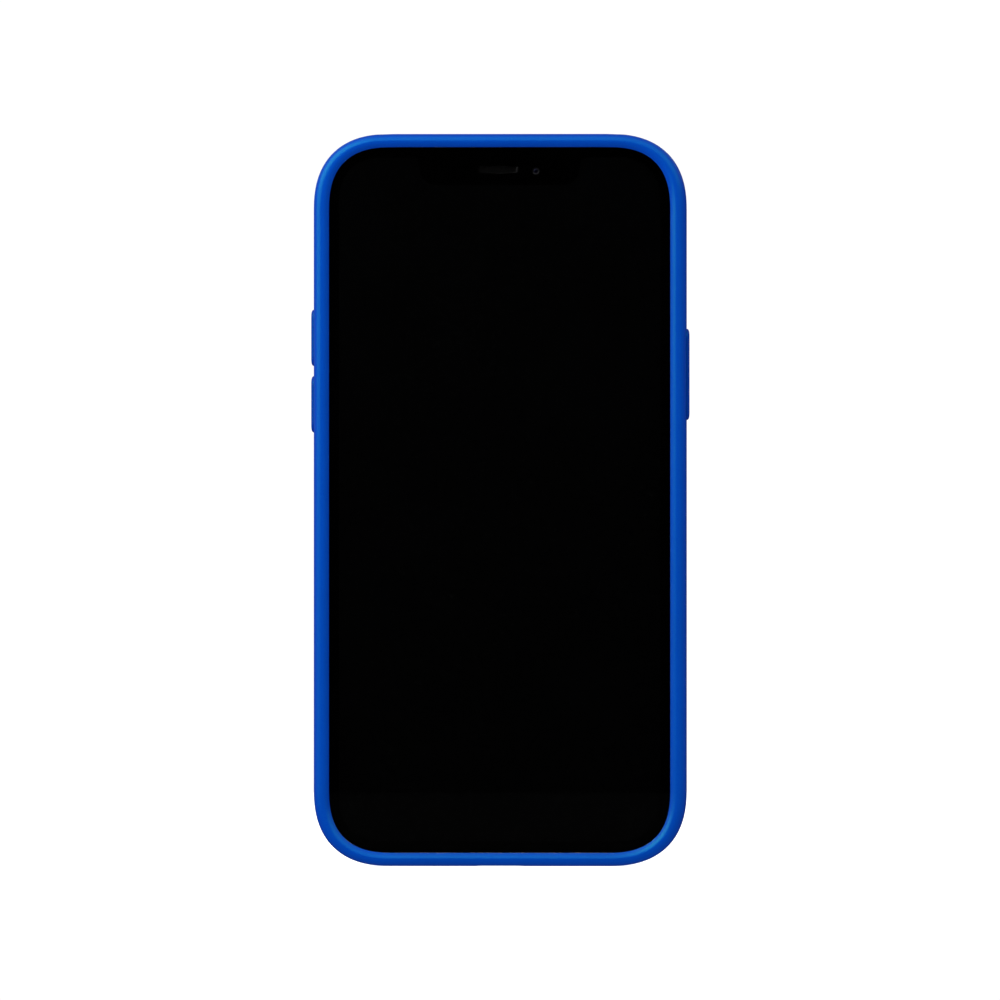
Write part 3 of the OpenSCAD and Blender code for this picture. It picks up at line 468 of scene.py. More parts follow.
class Outline:
    """A rounded rectangle round the phone's middle, whose corners ease in and out of the sides."""

    def __init__(self, width, height, reach, power):
        self.half = (width / 2, height / 2)
        self.reach = reach
        self.power = power

    def run(self, side):
        """Half of the straight part of a side: 0 bottom, 1 right, 2 top, 3 left."""
        return self.half[side % 2] - self.reach

    def point(self, side, s, depth, z):
        """The point depth inside the outline, at s anticlockwise from the middle of a side."""
        t = min(max(abs(s) - self.run(side), 0) / self.reach, 1)
        drop = (1 - t**self.power) ** (1 / self.power)
        slope = self.power - 1
        normal = Vector((math.copysign(t**slope, s), -(drop**slope))).normalized()
        out = self.half[(side + 1) % 2] - self.reach + self.reach * drop
        a, b = Vector((s, -out)) - normal * depth
        x, y = ((a, b), (-b, a), (-a, -b), (b, -a))[side]
        return x, y + MIDDLE, z

    def matching(self, other, side, s):
        """The s here that lies beside s on another outline."""
        run, other_run = self.run(side), other.run(side)
        if abs(s) <= other_run:
            return s * run / other_run
        return math.copysign(run + (abs(s) - other_run) * self.reach / other.reach, s)


CASE = Outline(CASE_W, CASE_H, *CASE_CORNER)
OPENING = Outline(OPENING_W, OPENING_H, *OPENING_CORNER)

COVERS = {
    "volume_up": (3, "volume_up_cover"),
    "volume_down": (3, "volume_down_cover"),
    "side_button": (1, "side_button_cover"),
}


def wall_place(side, y):
    """How far a height on the left or right lies from the middle of that side."""
    return (y - MIDDLE) * (1 if side == 1 else -1)


def cover_facts(body):
    """Side, place along it and length of a button cover."""
    side, node = COVERS[body]
    low, high = span(node)
    return side, wall_place(side, (low[1] + high[1]) / 2), high[1] - low[1] - FLANGE_L


switch_low, switch_high = span("ring_switch_base")
SWITCH_S = wall_place(3, (switch_low[1] + switch_high[1]) / 2)
PORT_Z = Z_BUTTON


def rim_inset(z):
    """How far the rounded edges have drawn in at height z."""
    if z > Z_LIP - LIP_EDGE:
        return LIP_EDGE - math.sqrt(max(LIP_EDGE**2 - (z - Z_LIP + LIP_EDGE) ** 2, 0))
    if z < Z_CASE_BACK + BACK_EDGE:
        return BACK_EDGE - math.sqrt(max(BACK_EDGE**2 - (Z_CASE_BACK + BACK_EDGE - z) ** 2, 0))
    return 0


def wall_holes():
    """The case's side openings. "past" is how many rows an opening reaches past the flat band."""
    holes = []
    for body in COVERS:
        side, s, length = cover_facts(body)
        height, room = COVER_W + 2 * COVER_GAP, COVER_W + FLANGE_W + POCKET_ROOM
        holes.append({
            "side": side, "s": s, "size": (length + 2 * COVER_GAP, height, height / 2),
            "margin": FIELD, "columns": int(length * 2.4), "past": 0, "flare": 0.3,
            "pocket": (length + FLANGE_L + POCKET_ROOM, room, room / 2),
        })
    holes.append({"side": 3, "s": SWITCH_S, "size": SWITCH_HOLE, "margin": WIDE_FIELD, "columns": 22,
                  "past": 0, "flare": 0.45})
    holes.append({"side": 0, "s": 0, "size": PORT_HOLE, "margin": WIDE_FIELD, "columns": 30, "past": 4,
                  "flare": 0.5})
    for s in (-SPEAKER_X, SPEAKER_X):
        holes.append({"side": 0, "s": s, "size": SPEAKER_HOLE, "margin": FIELD, "columns": 32, "past": 0,
                      "flare": 0.4})
    return holes


def case_stations(holes):
    """Places round the case, as (side, s), with a column on each edge of each hole's field."""
    places = []
    low_end = SPEAKER_X + SPEAKER_HOLE[0] / 2 + FIELD
    ends = (low_end, CASE.run(1), low_end, CASE.run(1))
    corner_steps = 30
    for side in range(4):
        marks = [-ends[side]]
        for hole in sorted((h for h in holes if h["side"] == side), key=lambda h: h["s"]):
            half = hole["size"][0] / 2 + hole["margin"]
            start, stop = hole["s"] - half, hole["s"] + half
            if start - marks[-1] > 0.01:
                gap = max(round((start - marks[-1]) / 4), 1)
                marks += [marks[-1] + (start - marks[-1]) * (i + 1) / gap for i in range(gap)]
            hole["first"] = len(places) + len(marks) - 1
            marks += [start + (stop - start) * (i + 1) / hole["columns"] for i in range(hole["columns"])]
        if ends[side] - marks[-1] > 0.01:
            gap = max(round((ends[side] - marks[-1]) / 4), 1)
            marks += [marks[-1] + (ends[side] - marks[-1]) * (i + 1) / gap for i in range(gap)]
        places += [(side, s) for s in marks]
        after = (side + 1) % 4
        power = CASE.power / 2
        start = math.asin(((ends[side] - CASE.run(side)) / CASE.reach) ** power)
        stop = math.pi / 2 - math.asin(((ends[after] - CASE.run(after)) / CASE.reach) ** power)
        for i in range(1, corner_steps):
            turn = start + (stop - start) * i / corner_steps
            if turn <= math.pi / 4:
                places.append((side, CASE.run(side) + CASE.reach * math.sin(turn) ** (1 / power)))
            else:
                places.append((after, -CASE.run(after) - CASE.reach * math.cos(turn) ** (1 / power)))
    return places


def build_case():
    shape = Shape()
    holes = wall_holes()
    places = case_stations(holes)
    bead_steps, edge_steps, back_steps, band_rows = 9, 12, 12, 12
    flat = 0.6
    band_top, band_low = Z_LIP - LIP_EDGE, Z_CASE_BACK + BACK_EDGE

    rows = [(OPENING, 0, Z_GLASS)]
    rows += [(OPENING, -BEAD_W * i / bead_steps, Z_LIP - BEAD_H * (1 - i / bead_steps) ** 2)
             for i in range(bead_steps + 1)]
    rows += [(CASE, LIP_EDGE * (1 - math.sin(a)), Z_LIP - LIP_EDGE * (1 - math.cos(a)))
             for a in quarter(edge_steps)]
    first_band = len(rows) - 1
    rows += [(CASE, 0, band_top + (band_low - band_top) * (i + 1) / band_rows) for i in range(band_rows)]
    rows += [(CASE, BACK_EDGE * (1 - math.cos(a)), band_low - BACK_EDGE * math.sin(a))
             for a in quarter(back_steps)[1:]]
    rows.append((CASE, BACK_EDGE + flat, Z_CASE_BACK))

    inner_top, inner_low, rise, side_rows = 3.4, -2.4, 0.4, 4
    heights = [Z_GLASS]
    heights += [inner_top + rise - rise * i / side_rows for i in range(side_rows)]
    first_inner = len(heights)
    heights += [inner_top + (inner_low - inner_top) * i / band_rows for i in range(band_rows + 1)]
    heights += [inner_low - rise * (i + 1) / side_rows for i in range(side_rows)]
    heights.append(Z_LINING)
    inner = [(CASE, WALL, z) for z in heights]

    def row_points(row):
        outline, depth, z = row
        return [outline.point(side, s if outline is CASE else outline.matching(CASE, side, s), depth, z)
                for side, s in places]

    outside = [shape.ring(row_points(row)) for row in rows]
    inside = [shape.ring(row_points(row)) for row in inner]
    count = len(places)

    def skin(grid, first_row):
        fields = []
        for hole in holes:
            top = first_row - hole["past"]
            low = first_row + band_rows + hole["past"]
            fields.append((hole["first"], hole["first"] + hole["columns"], top, low))
        for j in range(len(grid) - 1):
            for i in range(count):
                if any(a <= i < b and top <= j < low for a, b, top, low in fields):
                    continue
                k = (i + 1) % count
                shape.bm.faces.new((grid[j][i], grid[j][k], grid[j + 1][k], grid[j + 1][i]))
        return fields

    outer_fields = skin(outside, first_band)
    inner_fields = skin(inside, first_inner)
    shape.bridge(outside[0], inside[0])

    def border(grid, row_heights, field, s_middle, half):
        """The field's edge, clockwise from its upper left, as (vertex, side, share, s, z)."""
        a, b, top, low = field
        z_top, z_low = row_heights[top], row_heights[low]
        found = []
        for i in range(a, b):
            share = (i - a) / (b - a)
            found.append((grid[top][i], 0, share, s_middle - half + 2 * half * share, z_top))
        for j in range(top, low):
            share = (z_top - row_heights[j]) / (z_top - z_low)
            found.append((grid[j][b], 1, share, s_middle + half, row_heights[j]))
        for i in range(b, a, -1):
            share = (b - i) / (b - a)
            found.append((grid[low][i], 2, share, s_middle + half - 2 * half * share, z_low))
        for j in range(low, top, -1):
            share = (row_heights[j] - z_low) / (z_top - z_low)
            found.append((grid[j][a], 3, share, s_middle - half, row_heights[j]))
        return found

    outer_heights = [row[2] for row in rows]
    for hole, outer_field, inner_field in zip(holes, outer_fields, inner_fields):
        side, s_middle = hole["side"], hole["s"]
        w, h, r = hole["size"]
        half = w / 2 + hole["margin"]
        edge = border(outside, outer_heights, outer_field, s_middle, half)
        far_edge = border(inside, heights, inner_field, s_middle, half)

        def ring_at(grow, depth, size=None, surface_depth=False):
            width, height, radius = size or (w, h, r)
            points = []
            for _, q, share, _, _ in edge:
                u, v = rounded_point(width + 2 * grow, height + 2 * grow, radius + grow, q, share)
                z = PORT_Z + v
                d = depth + rim_inset(z) if surface_depth else depth
                points.append(CASE.point(side, s_middle + u, d, z))
            return points

        flare = hole["flare"]
        outer_edge = [rounded_point(w + 2 * flare, h + 2 * flare, r + flare, q, share)
                      for _, q, share, _, _ in edge]
        rings = []
        for step in (1 / 3, 2 / 3):
            points = []
            for (_, _, _, s, z), (u, v) in zip(edge, outer_edge):
                s_here = s + (s_middle + u - s) * step
                z_here = z + (PORT_Z + v - z) * step
                points.append(CASE.point(side, s_here, rim_inset(z_here), z_here))
            rings.append(points)
        rings += [ring_at(flare * (1 - math.sin(a)), flare * (1 - math.cos(a)), surface_depth=True)
                  for a in quarter(6)]
        if "pocket" in hole:
            rings.append(ring_at(0, POCKET_DEPTH))
            rings.append(ring_at(0, POCKET_DEPTH, hole["pocket"]))
            rings.append(ring_at(0, WALL, hole["pocket"]))
        else:
            rings.append(ring_at(0, WALL))
        made = shape.stack(rings)
        shape.bridge([e[0] for e in edge], made[0])
        shape.bridge(made[-1], [e[0] for e in far_edge])

    # Camera opening in the back
    low, high = span("camera_island")
    x, y = (low[0] + high[0]) / 2, (low[1] + high[1]) / 2
    w, h = high[0] - low[0] + 2 * ISLAND_GAP, high[1] - low[1] + 2 * ISLAND_GAP
    r, round_edge = ISLAND_R + ISLAND_GAP, 0.55
    path = [(round_edge * (1 - math.sin(a)), Z_CASE_BACK + round_edge * (1 - math.cos(a)))
            for a in quarter(6)]
    path.append((0, Z_LINING))
    made = shape.stack([
        [(x + u, y + v, z) for u, v in rounded(w + 2 * g, h + 2 * g, r + g, 28, 40)] for g, z in path
    ])
    shape.fill(outside[-1], made[0])
    shape.fill(inside[-1], made[-1])
    return shape.piece("silicone_case", "phone", "case_silicone", stands_for=["case_shell"])


build_case()


def wall_pad(name, body, side, s, z, profile, slot, material, stands_for):
    """A long rounded piece on a side wall. The profile lists (length, width, depth below the side)."""
    shape = Shape()
    rings = []
    for length, width, depth in profile:
        points = rounded(length, width, min(length, width) / 2, 26, 14)
        rings.append([CASE.point(side, s + u, depth, z + v) for u, v in points])
    made = shape.stack(rings)
    shape.fill(made[0])
    shape.fill(made[-1])
    return shape.piece(name, body, slot, material, stands_for)


def pillow(length, width, rise, steps=10, power=3.0):
    """Profile of a soft crowned top, from its edge to a narrow strip in the middle."""
    path = []
    reach = width / 2 - 0.12
    for i in range(steps + 1):
        share = math.sin(math.pi / 2 * i / steps) ** 2
        height = (1 - (1 - share) ** power) ** (1 / power)
        path.append((length - 2 * reach * share, width - 2 * reach * share, -rise * height))
    return path


# Button covers, in the darker silicone whose colour paints their shade
for body in COVERS:
    side, s, length = cover_facts(body)
    profile = [(length + FLANGE_L, COVER_W + FLANGE_W, depth) for depth in FLANGE_DEPTHS]
    profile += [(length, COVER_W, FLANGE_DEPTHS[1]), (length, COVER_W, 0.2)]
    profile += pillow(length, COVER_W, COVER_RISE)
    wall_pad(body + "_pad", body, side, s, Z_BUTTON, profile, "case_silicone", COVER_SILICONE_PAINTED_SHADE,
             [COVERS[body][1]])


# ---- Glass, printed ink and the pieces behind them ----

EARPIECE = (-0.3, 154.1, 9.2, 1.46)
FRONT_LENS = (8, 153.8)
AIR = 0.02
GLASS_R = 12.25
glass_low, glass_high = span("front_glass")
glass_w, glass_h = glass_high[0] - glass_low[0], glass_high[1] - glass_low[1]
ex, ey, el, ed = EARPIECE
earpiece_slot = (ex, ey, el, ed, ed / 2, 24, 12)
glass = slab((0, MIDDLE, glass_w, glass_h, GLASS_R, 40, 60), [earpiece_slot], Z_PANEL + AIR, Z_GLASS,
             edge=0.25, hole_edge=0.02, steps=4, margin=0.08).piece(
    "cover_glass", "phone", "front_glass", stands_for=["front_glass"])
glass.visible_shadow = False

DISPLAY_W, DISPLAY_LOW, DISPLAY_HIGH, DISPLAY_R = 71.1, 5.5, 156.8, 8.6
NOTCH_W, NOTCH_H, NOTCH_R, NOTCH_SHOULDER = 35.6, 6.1, 4.0, 1.6


def arc(x, y, r, start, stop, steps=8):
    return [(x + r * math.cos(math.radians(start + (stop - start) * i / steps)),
             y + r * math.sin(math.radians(start + (stop - start) * i / steps))) for i in range(steps + 1)]


def display_outline():
    """The lit area's edge, anticlockwise from the notch's right shoulder."""
    w, r, top = DISPLAY_W / 2, DISPLAY_R, DISPLAY_HIGH
    n, low = NOTCH_W / 2, DISPLAY_HIGH - NOTCH_H
    return (
        arc(n + NOTCH_SHOULDER, top - NOTCH_SHOULDER, NOTCH_SHOULDER, 180, 90)
        + arc(w - r, top - r, r, 90, 0, 16)
        + arc(w - r, DISPLAY_LOW + r, r, 0, -90, 16)
        + arc(r - w, DISPLAY_LOW + r, r, -90, -180, 16)
        + arc(r - w, top - r, r, 180, 90, 16)
        + arc(-n - NOTCH_SHOULDER, top - NOTCH_SHOULDER, NOTCH_SHOULDER, 90, 0)
        + arc(NOTCH_R - n, low + NOTCH_R, NOTCH_R, 180, 270)
        + arc(n - NOTCH_R, low + NOTCH_R, NOTCH_R, -90, 0)
    )


def build_ink():
    """The black print behind the glass, open over the display, the earpiece and the front lens.

    A thin skirt covers the glass's edge, and a liner covers the wall of the earpiece's slot."""
    shape = Shape()
    low, back = Z_PANEL + 0.004, Z_PANEL + AIR - 0.004
    front, slot_front = Z_GLASS - 0.28, Z_GLASS - 0.03

    def edge(grow, z):
        r = GLASS_R + grow
        return [(u, MIDDLE + v, z) for u, v in rounded(glass_w + 2 * grow, glass_h + 2 * grow, r, 40, 60)]

    def slot(shrink, z):
        size = (el - 2 * shrink, ed - 2 * shrink, ed / 2 - shrink)
        return [(ex + u, ey + v, z) for u, v in rounded(*size)]

    far, near = 0.035, 0.008
    walls = [[edge(far, low), edge(far, front), edge(near, front), edge(near, back)]]
    far, near = 0.04, 0.006
    walls.append([slot(far, low), slot(far, slot_front), slot(near, slot_front), slot(near, back)])
    for rim in (display_outline(), arc(*FRONT_LENS, 0.86, 0, 360, 40)[:-1]):
        walls.append([[(x, y, z) for x, y in rim] for z in (low, back)])
    made = [shape.stack(rings) for rings in walls]
    shape.fill(*[m[0] for m in made])
    shape.fill(*[m[-1] for m in made])
    return shape.piece("glass_ink", "phone", "front_glass", INK)


build_ink()


def build_earpiece():
    """A thin plate with rows of small holes, set in the glass's slot."""
    holes = []
    columns, pitch, row_pitch, hole = 21, 0.4, 0.36, 0.25
    for row in (-1, 0, 1):
        for i in range(columns):
            x = ex + (i - columns // 2 + 0.25 * (row % 2)) * pitch
            holes.append(disc(x, ey + row * row_pitch, hole, 3))
    low, high = span("earpiece_mesh")
    outline = (ex, ey, el - 0.1, ed - 0.1, ed / 2 - 0.05, 24, 12)
    return slab(outline, holes, low[2], high[2], edge=0.05, hole_edge=0.02, steps=2).piece(
        "earpiece_grille", "phone", "mesh", stands_for=["earpiece_mesh"])


build_earpiece()


def build_front_lens():
    """The front lens behind its round window in the ink: a stepped ring and a small coated dome."""
    x, y = FRONT_LENS
    top = span("front_camera")[1][2]
    ring = Shape()
    z = top + 0.12
    lathe(ring, x, y, [(1.25, top), (1.25, z), (0.86, z), (0.72, z - 0.04), (0.66, z - 0.06),
                       (0.62, z - 0.1), (0.5, z - 0.1), (0.46, z - 0.115), (0.46, top), (1.25, top)], 48)
    bmesh.ops.remove_doubles(ring.bm, verts=ring.bm.verts[:], dist=1e-7)
    ring.piece("front_lens_ring", "phone", "black_plastic", FRONT_RING)
    bead = Shape()
    points = [(r, 2 * (top + 0.02) - z_dome) for r, z_dome in dome(0.45, top + 0.02, 0.09)]
    lathe(bead, x, y, [(0, top + 0.003), (0.45, top + 0.003)] + points, 48)
    bead.piece("front_lens_bead", "phone", "lens_cover", SMALL_LENS)


build_front_lens()


# ---- Rear cameras ----

ISLAND_X, ISLAND_Y = 22, 131.7
LENS_X, SECOND_X, LENS_STEP = 26.8, 14.6, 15.2
LENS_Y = [ISLAND_Y + LENS_STEP, ISLAND_Y, ISLAND_Y - LENS_STEP]
WINDOW_D, RING_D, FLASH_D, MICROPHONE_D = 9.2, 12.6, 5.2, 1.1
Z_RING = span("lens_rings")[0][2]
Z_WINDOW = span("lens_covers")[1][2]

island_low, island_high = span("camera_island")
slab((ISLAND_X, ISLAND_Y, island_high[0] - island_low[0], island_high[1] - island_low[1], ISLAND_R, 28, 40),
     [disc(LENS_X, y, WINDOW_D, 16) for y in LENS_Y]
     + [disc(SECOND_X, LENS_Y[0], FLASH_D, 12), disc(SECOND_X, LENS_Y[1], MICROPHONE_D, 6)],
     Z_ISLAND, Z_BACK, edge=0.42, hole_edge=0.12, steps=5).piece(
    "camera_plate", "phone", "back_glass", stands_for=["camera_island"])


def build_rings():
    shape = Shape()
    inner, outer, edge = WINDOW_D / 2 - 0.5, RING_D / 2, 0.28
    for y in LENS_Y:
        profile = [(inner, Z_ISLAND), (outer, Z_ISLAND)]
        profile += [(outer - edge * (1 - math.cos(a)), Z_RING + edge * (1 - math.sin(a)))
                    for a in quarter(5)]
        profile += [(inner + 0.62, Z_RING), (inner + 0.52, Z_RING + 0.04), (inner + 0.12, Z_RING + 0.36),
                    (inner, Z_RING + 0.46), (inner, Z_ISLAND)]
        lathe(shape, LENS_X, y, profile, 96)
    bmesh.ops.remove_doubles(shape.bm, verts=shape.bm.verts[:], dist=1e-7)
    return shape.piece("lens_bezels", "phone", "lens_ring", stands_for=["lens_rings"])


build_rings()
frame["nodes"]["lens_covers"].visible_shadow = False


def build_lens_masks():
    """Black print round the edge of each window's inner face."""
    shape = Shape()
    for y, hole in zip(LENS_Y, (3.35, 3.0, 3.2)):
        z = Z_WINDOW + 0.02
        lathe(shape, LENS_X, y, [(4.5, z), (4.5, z + 0.03), (hole, z + 0.03), (hole, z), (4.5, z)], 64)
    bmesh.ops.remove_doubles(shape.bm, verts=shape.bm.verts[:], dist=1e-7)
    return shape.piece("lens_masks", "phone", "black_plastic", INK)


build_lens_masks()


def build_barrel(name, body, y, node, lens_r, rise, coating):
    """A barrel with stepped baffles round a coated front lens."""
    low, high = span(node)
    face, far = low[2], high[2]
    outer = (high[0] - low[0]) / 2
    profile = [(0, far), (outer, far), (outer, face + 0.12), (outer - 0.12, face), (lens_r + 0.62, face)]
    steps = 5
    for i in range(steps):
        r = lens_r + 0.62 - 0.6 * i / steps
        z = face + 0.5 * i / steps
        profile += [(r, z + 0.06), (r - 0.1, z + 0.1)]
    profile += [(lens_r, face + 0.56), (0, face + 0.6)]
    shape = Shape()
    lathe(shape, LENS_X, y, profile, 64)
    shape.piece(name + "_barrel", body, "black_plastic", BAFFLE, [node])
    lens = Shape()
    base, bead_r = face + 0.52, lens_r - 0.04
    lathe(lens, LENS_X, y, [(0, base + 0.02), (bead_r, base + 0.02)] + dome(bead_r, base, rise), 64)
    lens.piece(name + "_front_lens", body, "lens_cover", coating)


build_barrel("wide", "wide_lens", LENS_Y[0], "wide_lens_barrel", 2.55, 0.42, VIOLET_LENS)
build_barrel("tele", "tele_lens", LENS_Y[2], "tele_lens_barrel", 2.1, 0.3, GREEN_LENS)


def build_ultrawide():
    low = span("ultrawide_camera")[0]
    face = low[2] - 0.005
    shape = Shape()
    lathe(shape, LENS_X, LENS_Y[1], [(0, face + 0.01), (3.0, face + 0.01), (3.1, face), (3.55, face),
                                      (3.55, face - 0.06), (2.9, face - 0.06), (2.5, face - 0.02),
                                      (1.8, face + 0.005), (0, face + 0.006)], 64)
    shape.piece("ultrawide_trim", "phone", "black_plastic", BAFFLE)
    lens = Shape()
    lathe(lens, LENS_X, LENS_Y[1], [(0, face), (1.75, face)] + dome(1.75, face - 0.01, 0.24), 64)
    lens.piece("ultrawide_front_lens", "phone", "lens_cover", BLUE_LENS)


build_ultrawide()


def build_flash():
    """Round window, smooth outside and with fine rings on its inner face."""
    low, high = span("flash_lens")
    outer = (high[0] - low[0]) / 2
    profile = [(0, low[2])]
    profile += [(outer - 0.25 * (1 - math.sin(a)), low[2] + 0.25 * (1 - math.cos(a))) for a in quarter(4)]
    profile.append((outer, high[2]))
    rings = 9
    for i in range(rings):
        r = outer - 0.4 - i * (outer - 0.5) / rings
        profile += [(r, high[2]), (r - 0.03, high[2] - 0.12)]
    profile.append((0, high[2] - 0.08))
    shape = Shape()
    lathe(shape, SECOND_X, LENS_Y[0], profile, 64)
    made = shape.piece("flash_cover", "phone", "flash_window", stands_for=["flash_lens"])
    made.visible_shadow = False


build_flash()


def build_microphone_mesh():
    x, y = SECOND_X, LENS_Y[1]
    holes = [disc(x, y, 0.14, 3)]
    for i in range(6):
        a = math.pi / 3 * i
        holes.append(disc(x + 0.26 * math.cos(a), y + 0.26 * math.sin(a), 0.14, 3))
    slab(disc(x, y, 1.0, 8), holes, Z_BACK - 0.5, Z_BACK - 0.42, edge=0.02, hole_edge=0.01, steps=2).piece(
        "microphone_mesh", "phone", "mesh")


build_microphone_mesh()

# ---- Ring switch and port ----

knob_low, knob_high = span("ring_switch_lever")
knob_out = CASE_W / 2 + knob_low[0]
knob_s = wall_place(3, (knob_low[1] + knob_high[1]) / 2)
KNOB_L, KNOB_W, KNOB_EDGE = 3.2, 1.8, 0.2
SLIDE_L, SLIDE_W = 6.8, 3.0
knob_profile = [(SLIDE_L, SLIDE_W, knob_out + 1.25), (SLIDE_L, SLIDE_W, knob_out + 1.06),
                (KNOB_L, KNOB_W, knob_out + 1.04), (KNOB_L, KNOB_W, knob_out + KNOB_EDGE)]
for a in quarter(4)[1:]:
    inset = 2 * KNOB_EDGE * (1 - math.cos(a))
    knob_profile.append((KNOB_L - inset, KNOB_W - inset, knob_out + KNOB_EDGE * (1 - math.sin(a))))
wall_pad("switch_knob", "ring_switch", 3, knob_s, Z_BUTTON, knob_profile, "frame_metal", None,
         ["ring_switch_lever"])


def build_contacts():
    """Twelve gilded strips on each face of the port's tongue."""
    low, high = span("charge_port_tongue")
    shape = Shape()
    count, width, thick = 12, 0.26, 0.02
    reach = min(high[0], 3.0)
    for face_z, out in ((low[2], -1), (high[2], 1)):
        for i in range(count):
            x = -reach + 2 * reach * i / (count - 1)
            rings = []
            rims = ((0, -thick), (0, 0.6 * thick), (-0.02, thick))
            for grow, z in [(grow, face_z + rise * out) for grow, rise in rims]:
                points = rounded(width + 2 * grow, 3.2 + 2 * grow, 0.04, 2, 2)
                rings.append([(x + u, low[1] + 2.2 + v, z) for u, v in points])
            made = shape.stack(rings)
            shape.fill(made[0])
            shape.fill(made[-1])
    shape.piece("port_contacts", "phone", "gold")


build_contacts()

# ---- Floor, light and camera ----

AMBIENT_FRONT, AMBIENT_BACK, AMBIENT_BELOW = 0.84, 0.4, 0.42
MIRRORED_TOP, MIRRORED_LEFT, MIRRORED_SIDE, MIRRORED_FLOOR = 2.4, 1.45, 0.1, 0.006


def by_ray(tree, lighting, mirrored, seen):
    """One shader for lighting, one for mirrored and refracted rays, and one for what is seen directly."""
    path = tree.nodes.new("ShaderNodeLightPath")
    sharp = tree.nodes.new("ShaderNodeMath")
    sharp.operation = "MAXIMUM"
    tree.links.new(path.outputs["Is Glossy Ray"], sharp.inputs[0])
    tree.links.new(path.outputs["Is Transmission Ray"], sharp.inputs[1])
    result = None
    for share, other in ((sharp.outputs["Value"], mirrored), (path.outputs["Is Camera Ray"], seen)):
        mix = tree.nodes.new("ShaderNodeMixShader")
        tree.links.new(share, mix.inputs["Fac"])
        tree.links.new(result or lighting, mix.inputs[1])
        tree.links.new(other, mix.inputs[2])
        result = mix.outputs["Shader"]
    return result


def build_floor():
    shape = Shape()
    size, steps, gap = 1500, 6, 0.02
    marks = [-size + 2 * size * i / steps for i in range(steps + 1)]
    grid = [[shape.bm.verts.new(Vector((x, y, -gap)) * MM) for x in marks] for y in marks]
    for j in range(steps):
        for i in range(steps):
            shape.bm.faces.new((grid[j][i], grid[j][i + 1], grid[j + 1][i + 1], grid[j + 1][i]))
    mesh = bpy.data.meshes.new("floor")
    shape.bm.to_mesh(mesh)
    shape.bm.free()
    floor = bpy.data.objects.new("floor", mesh)
    bpy.context.scene.collection.objects.link(floor)
    n = Nodes("white_floor")
    n.link(n.ramp(n.noise(8, 2), (0.88, 0.88, 0.88), (0.9, 0.9, 0.9)), n.bsdf.inputs["Base Color"])
    n.set(Roughness=0.9, Specular_IOR_Level=0.0, Emission_Color=(1, 1, 1, 1), Emission_Strength=0.85)
    lit = n.add("ShaderNodeEmission")
    lit.inputs["Strength"].default_value = AMBIENT_BELOW
    dark = n.add("ShaderNodeEmission")
    dark.inputs["Strength"].default_value = MIRRORED_FLOOR
    unseen = by_ray(n.tree, lit.outputs["Emission"], dark.outputs["Emission"], n.bsdf.outputs["BSDF"])
    n.link(unseen, n.tree.nodes["Material Output"].inputs["Surface"])
    floor.data.materials.append(n.material)


build_floor()


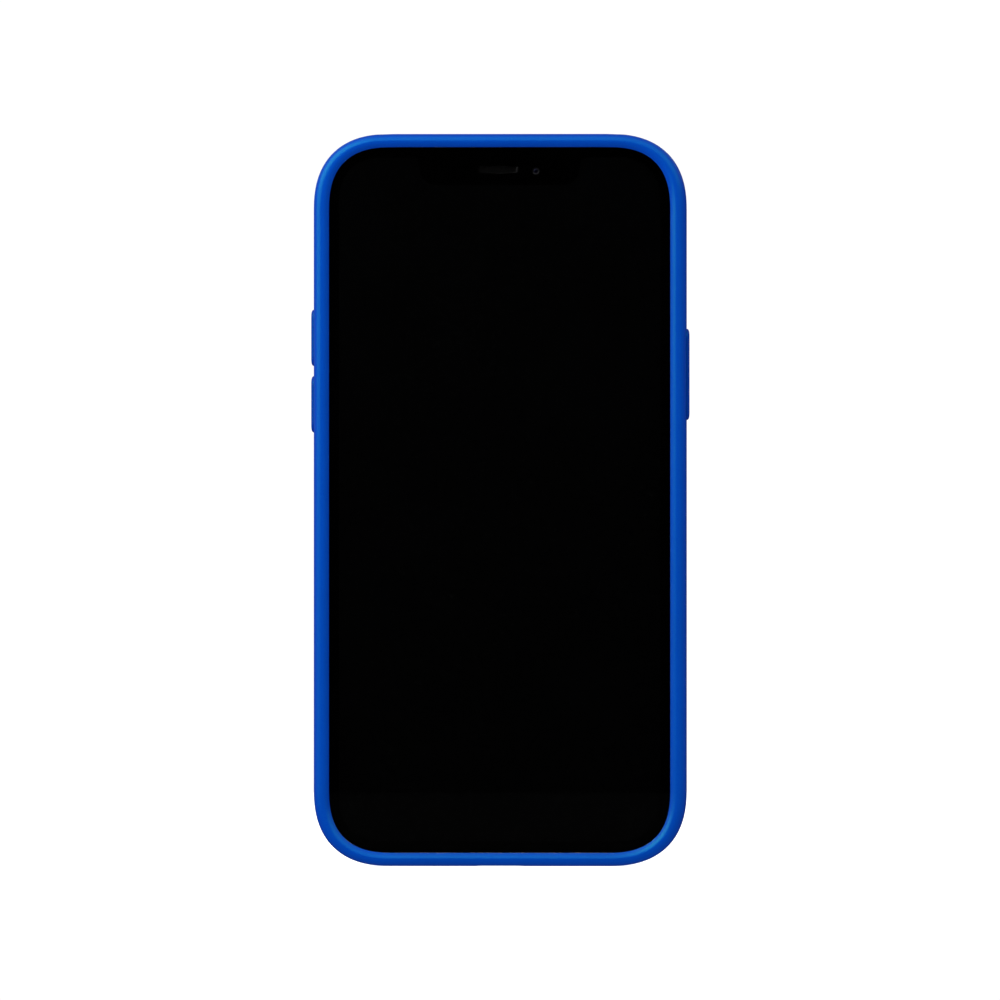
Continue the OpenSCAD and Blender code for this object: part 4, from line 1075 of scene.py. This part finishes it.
def build_world():
    """White behind the object. It lights most from the front, and a panel at the upper left is mirrored."""
    world = bpy.data.worlds.new("studio")
    bpy.context.scene.world = world
    world.use_nodes = True
    tree = world.node_tree
    place = tree.nodes.new("ShaderNodeTexCoord")
    split = tree.nodes.new("ShaderNodeSeparateXYZ")
    tree.links.new(place.outputs["Generated"], split.inputs["Vector"])

    def share(axis, start, stop, low, high):
        rise = tree.nodes.new("ShaderNodeMapRange")
        rise.interpolation_type = "SMOOTHSTEP"
        for key, value in (("From Min", start), ("From Max", stop), ("To Min", low), ("To Max", high)):
            rise.inputs[key].default_value = value
        tree.links.new(split.outputs[axis], rise.inputs["Value"])
        return rise.outputs["Result"]

    def joined(operation, a, b):
        node = tree.nodes.new("ShaderNodeMath")
        node.operation = operation
        tree.links.new(a, node.inputs[0])
        tree.links.new(b, node.inputs[1])
        return node.outputs["Value"]

    def glow(strength):
        node = tree.nodes.new("ShaderNodeBackground")
        tree.links.new(strength, node.inputs["Strength"])
        return node.outputs["Background"]

    seen = tree.nodes["Background"]
    seen.inputs["Color"].default_value = (1, 1, 1, 1)
    seen.inputs["Strength"].default_value = 1.05
    lighting = glow(share("Y", -0.9, 0.4, AMBIENT_FRONT, AMBIENT_BACK))
    above = share("Z", 0.1, 0.32, 0.0, MIRRORED_TOP)
    left = share("X", -0.32, -0.1, MIRRORED_LEFT, 0.0)
    round_front = share("Y", -0.98, -0.91, 0.0, 1.0)
    before_back = share("Y", -0.65, 0.25, 1.0, MIRRORED_SIDE)
    panel = joined("MULTIPLY", joined("ADD", above, left), joined("MULTIPLY", round_front, before_back))
    mirrored = glow(panel)
    result = by_ray(tree, lighting, mirrored, seen.outputs["Background"])
    tree.links.new(result, tree.nodes["World Output"].inputs["Surface"])


build_world()

AIM = Vector((0, 0, MIDDLE)) * MM


def add_light(name, place, size, power, colour=(1, 1, 1)):
    data = bpy.data.lights.new(name, "AREA")
    data.shape = "RECTANGLE"
    data.size, data.size_y = size
    data.energy = power
    data.color = colour
    light = bpy.data.objects.new(name, data)
    light.location = place
    light.rotation_mode = "QUATERNION"
    light.rotation_quaternion = (AIM - Vector(place)).to_track_quat("-Z", "Y")
    bpy.context.scene.collection.objects.link(light)
    return light


add_light("key", (-0.24, -0.22, 0.27), (0.36, 0.36), 0.62, (1, 1, 0.95))

# From behind, a soft light that isn't mirrored, and a small one that only the back and its lens rings face
back_soft = add_light("back_soft", (0.5, 0.9, 0.7), (0.8, 0.8), 6)
back_soft.visible_glossy = False
glint = add_light("glint", (0.0, 0.35, 0.13), (0.07, 0.1), 0.09)
glint.visible_camera = False

DISTANCE = 6.0
FRAME_W = 0.2214
TURN = math.radians(2.6)
AIM_ACROSS = -0.0001
SENSOR_MM = 36
camera_data = bpy.data.cameras.new("camera")
camera_data.type = "PERSP"
camera_data.sensor_width = SENSOR_MM
camera_data.lens = SENSOR_MM * DISTANCE / FRAME_W
camera_data.clip_start, camera_data.clip_end = 0.1, 50
camera = bpy.data.objects.new("camera", camera_data)
towards = Vector((-math.sin(TURN), math.cos(TURN), 0))
camera.location = AIM + Vector((AIM_ACROSS, 0, 0)) - towards * DISTANCE
camera.rotation_mode = "QUATERNION"
camera.rotation_quaternion = towards.to_track_quat("-Z", "Y")
bpy.context.scene.collection.objects.link(camera)
bpy.context.scene.camera = camera

bpy.context.scene.view_settings.view_transform = "Standard"
bpy.context.scene.view_settings.look = "None"
